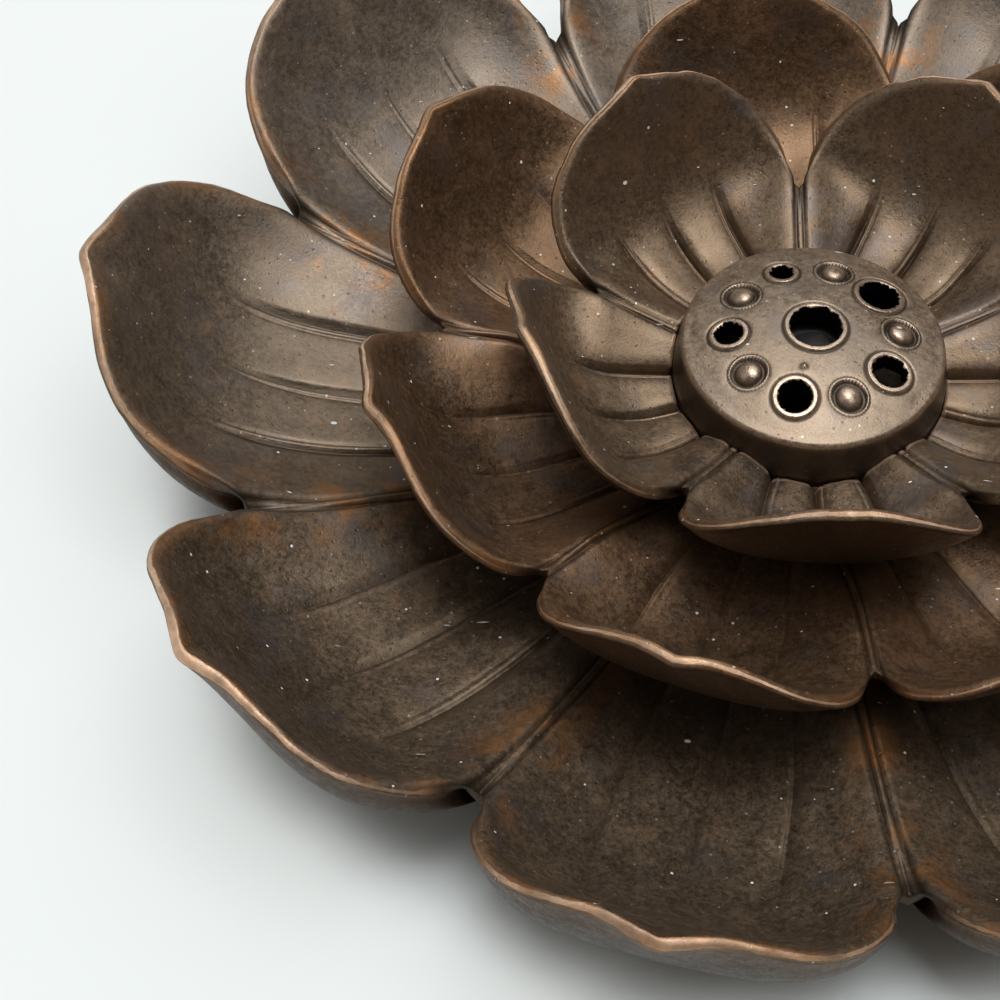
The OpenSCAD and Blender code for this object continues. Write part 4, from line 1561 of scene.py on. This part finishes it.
@dataclass(frozen=True)
class ViewPoint:
    """The camera's place, looking down at the burner. Lengths are in millimetres, turns in degrees.

    Attributes:
        elevation: Height of the view above the horizon.
        heading: Turn about the burner's axis.
        roll: Turn about the line of sight.
        look_z: Height of the point that the line of sight is measured from.
        right: Shift of the camera to its right.
        up: Shift of the camera upwards.
        distance: Distance from that point.
        lens: Focal length.
        sensor: Width of the film.
    """

    elevation: float = 52.26
    heading: float = -0.65
    roll: float = 1.368
    look_z: float = 18.8
    right: float = -25.687
    up: float = -13.849
    distance: float = 218.042
    lens: float = 96.42
    sensor: float = 36.0

    def build(self) -> None:
        """Make the scene's camera."""
        e, r = math.radians(self.elevation), math.radians(self.roll)
        x, y = Vector((1.0, 0.0, 0.0)), Vector((0.0, math.sin(e), math.cos(e)))
        right = x * math.cos(r) + y * math.sin(r)
        up = y * math.cos(r) - x * math.sin(r)
        back = Vector((0.0, -math.cos(e), math.sin(e)))
        turn = Matrix.Rotation(math.radians(self.heading), 3, "Z")
        axes = turn @ Matrix((right, up, back)).transposed()
        eye = turn @ (right * self.right + up * self.up + back * self.distance)
        data = bpy.data.cameras.new("camera")
        data.lens, data.sensor_width = self.lens, self.sensor
        data.clip_start, data.clip_end = 0.005, 20.0
        camera = bpy.data.objects.new("camera", data)
        bpy.context.scene.collection.objects.link(camera)
        camera.matrix_world = Matrix.Translation((eye + Vector((0.0, 0.0, self.look_z))) * MM) @ axes.to_4x4()
        bpy.context.scene.camera = camera


# --------------------------------------------------------------------------- the burner


def settle(obj: bpy.types.Object, body: Body, node: str, material: bpy.types.Material) -> None:
    """Dress a piece, let it ride on its body and stand for its node.

    Args:
        obj: The piece.
        body: The body that it rides on.
        node: The CAD node that it stands for.
        material: Its material.
    """
    obj.data.materials.clear()
    obj.data.materials.append(material)
    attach(obj, body.value)
    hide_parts(node)
    LOG.info("%s stands for %s on %s: %d faces", obj.name, node, body.value, len(obj.data.polygons))


@dataclass
class IncenseBurner:
    """The whole burner: three tiers of petals, the pod, and what holds them together."""

    lower: PetalTier = field(default_factory=lambda: PetalTier(
        "lower_petals_cast", "lower_petals", Body.BASE,
        PetalForm(9, 19, 30, 47.4, 57.4, 2.0, 0.16, 4.5, 1.6, 1.64, 0.8, 5.8, 31.6, 0.5, 4.2, 16.4, 4.3, 2.8, 0.3,
                  0.9, 135.7),
        VeinForm(33.0, 53.5, 1.7, 0.27, 0.10, 0.45, 0.26), 21.0,
        ((20.0, 5.95), (19.6, 6.1), (2.3, 6.1), (2.15, 5.95), (2.15, 3.0), (18.9, 3.0)), 11, 104,
        (1.0, 1.2, 0.65, 0.45, 0.5, 0.7, 0.8, 0.8, 0.9),
        ((0.01, 4.5), (4.9, 4.5), (5.0, 2.0), (4.7, 1.65), (0.01, 1.6))))
    middle: PetalTier = field(default_factory=lambda: PetalTier(
        "middle_petals_cast", "middle_petals", Body.MIDDLE,
        PetalForm(7, 12, 22, 30.2, 36.4, 1.0, 0.12, 4.1, 1.1, 1.87, 1.28, 9.7, 26.4, 1.0, 4.4, 13.4, 3.4, 1.5, 0.3,
                  0.0, 95.8),
        VeinForm(22.0, 33.0, 1.2, 0.19, 0.08, 0.36, 0.22), 13.8,
        ((13.0, 9.88), (12.7, 10.0), (2.2, 10.0), (2.05, 9.88), (2.05, 8.2), (11.9, 8.2)), 12, 124,
        (1.0, 0.9, 0.8, 0.45, 0.5, 0.7, 0.8)))
    upper: PetalTier = field(default_factory=lambda: PetalTier(
        "upper_petals_cast", "upper_petals", Body.UPPER,
        PetalForm(5, 10.8, 11.1, 18.05, 24.3, 0.45, 0.08, 6.3, 1.35, 1.9, 1.14, 12.3, 11.1, 0.55, 4.1, 14.3, 3.4,
                  1.3, 0.8, 0.0, 54.0, tip_lift=0.5),
        VeinForm(12.0, 21.0, 1.15, 0.3, 0.08, 0.29, 0.24), 11.42,
        ((11.4, 12.6), (11.35, 12.35), (11.2, 12.3), (2.2, 12.3), (2.05, 12.15), (2.05, 11.0), (10.8, 11.0)), 13, 164,
        (1.0, 1.0, 0.9, 0.65, 0.9)))
    pod: SeedPod = field(default_factory=lambda: SeedPod(12.3))
    stack: Stack = field(default_factory=Stack)

    def build(self) -> None:
        """Build and dress every piece in order."""
        tiers = ((self.lower, BronzePatina("lower_petals_patina", dark=(0.172, 0.118, 0.074), warm=(0.33, 0.155, 0.062), cool=(0.140, 0.116, 0.108), dust=(0.80, 0.79, 0.76), film=0.05, rim_w=1.0, glow_w=2.6, seam_rub=0.95)),
                 (self.middle, BronzePatina("middle_petals_patina", dark=(0.208, 0.122, 0.068), cool=(0.150, 0.114, 0.094), copper=(0.88, 0.58, 0.38), rim_w=0.4, glow_w=1.2, seam_rub=0.3, shift=31.0)),
                 (self.upper, BronzePatina("upper_petals_patina", dark=(0.190, 0.130, 0.083), rim_w=0.38, glow_w=0.7, end_highlight=0.55, shift=67.0)))
        for tier, finish in tiers:
            settle(tier.build(), tier.body, tier.node, finish.material())
        settle(self.pod.build(), Body.POD, "seed_pod", PodPatina("seed_pod_patina", dark=(0.280, 0.208, 0.148),
                                                                     cool=(0.22, 0.18, 0.155), shift=90.0).material())
        self.build_stack()

    def build_stack(self) -> None:
        """Build the fasteners, the collars and the pads."""
        steel = BlackenedSteelWithShade("blackened_steel_with_shade").material()
        collar = BronzePatina("collar_patina", shift=43.0)
        collar_shade = Shade(collar.name)
        colour, roughness, height, metallic = collar.base(collar_shade)
        collar_shade.bump(height, 0.05)
        collar_metal = collar_shade.finish(colour, metallic, roughness)
        stack = self.stack
        settle(stack.screw(), Body.BASE, "centre_screw", steel)
        settle(stack.ring("screw_washer_turned", "screw_washer", stack.screw_r + 0.15, 0.14), Body.BASE,
               "screw_washer", steel)
        settle(stack.spring(), Body.BASE, "spring_washer", steel)
        settle(stack.nut(), Body.BASE, "centre_nut", steel)
        for level in ("lower", "upper"):
            piece = stack.ring(f"{level}_collar_turned", f"{level}_collar", stack.screw_r + 0.1, 0.2)
            settle(piece, Body.BASE, f"{level}_collar", collar_metal)
        rubber = PadRubber("pad_rubber_moulded").material()
        for i in range(PAD_COUNT):
            settle(stack.pad(i), Body.BASE, f"foot_pad_{i + 1}", rubber)


def main() -> None:
    """Build the burner, the studio and the camera."""
    logging.basicConfig(level=logging.INFO, format="%(message)s")
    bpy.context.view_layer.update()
    bpy.context.scene.view_settings.view_transform = "Standard"
    IncenseBurner().build()
    Studio(lamps=(
        Lamp("ceiling_panel", (0.10, 0.32, 1.0), (1.2, 1.0), 6.4),
        Lamp("high_lamp", (0.04, -0.04, 1.1), (0.55, 0.55), 4.7),
        Lamp("left_panel", (-0.9, -0.25, 0.65), (0.8, 0.8), 0.9),
        Lamp("right_panel", (0.48, -0.36, 1.0), (0.6, 0.6), 2.0),
    )).build()
    ViewPoint().build()


if __name__ == "__main__":
    main()
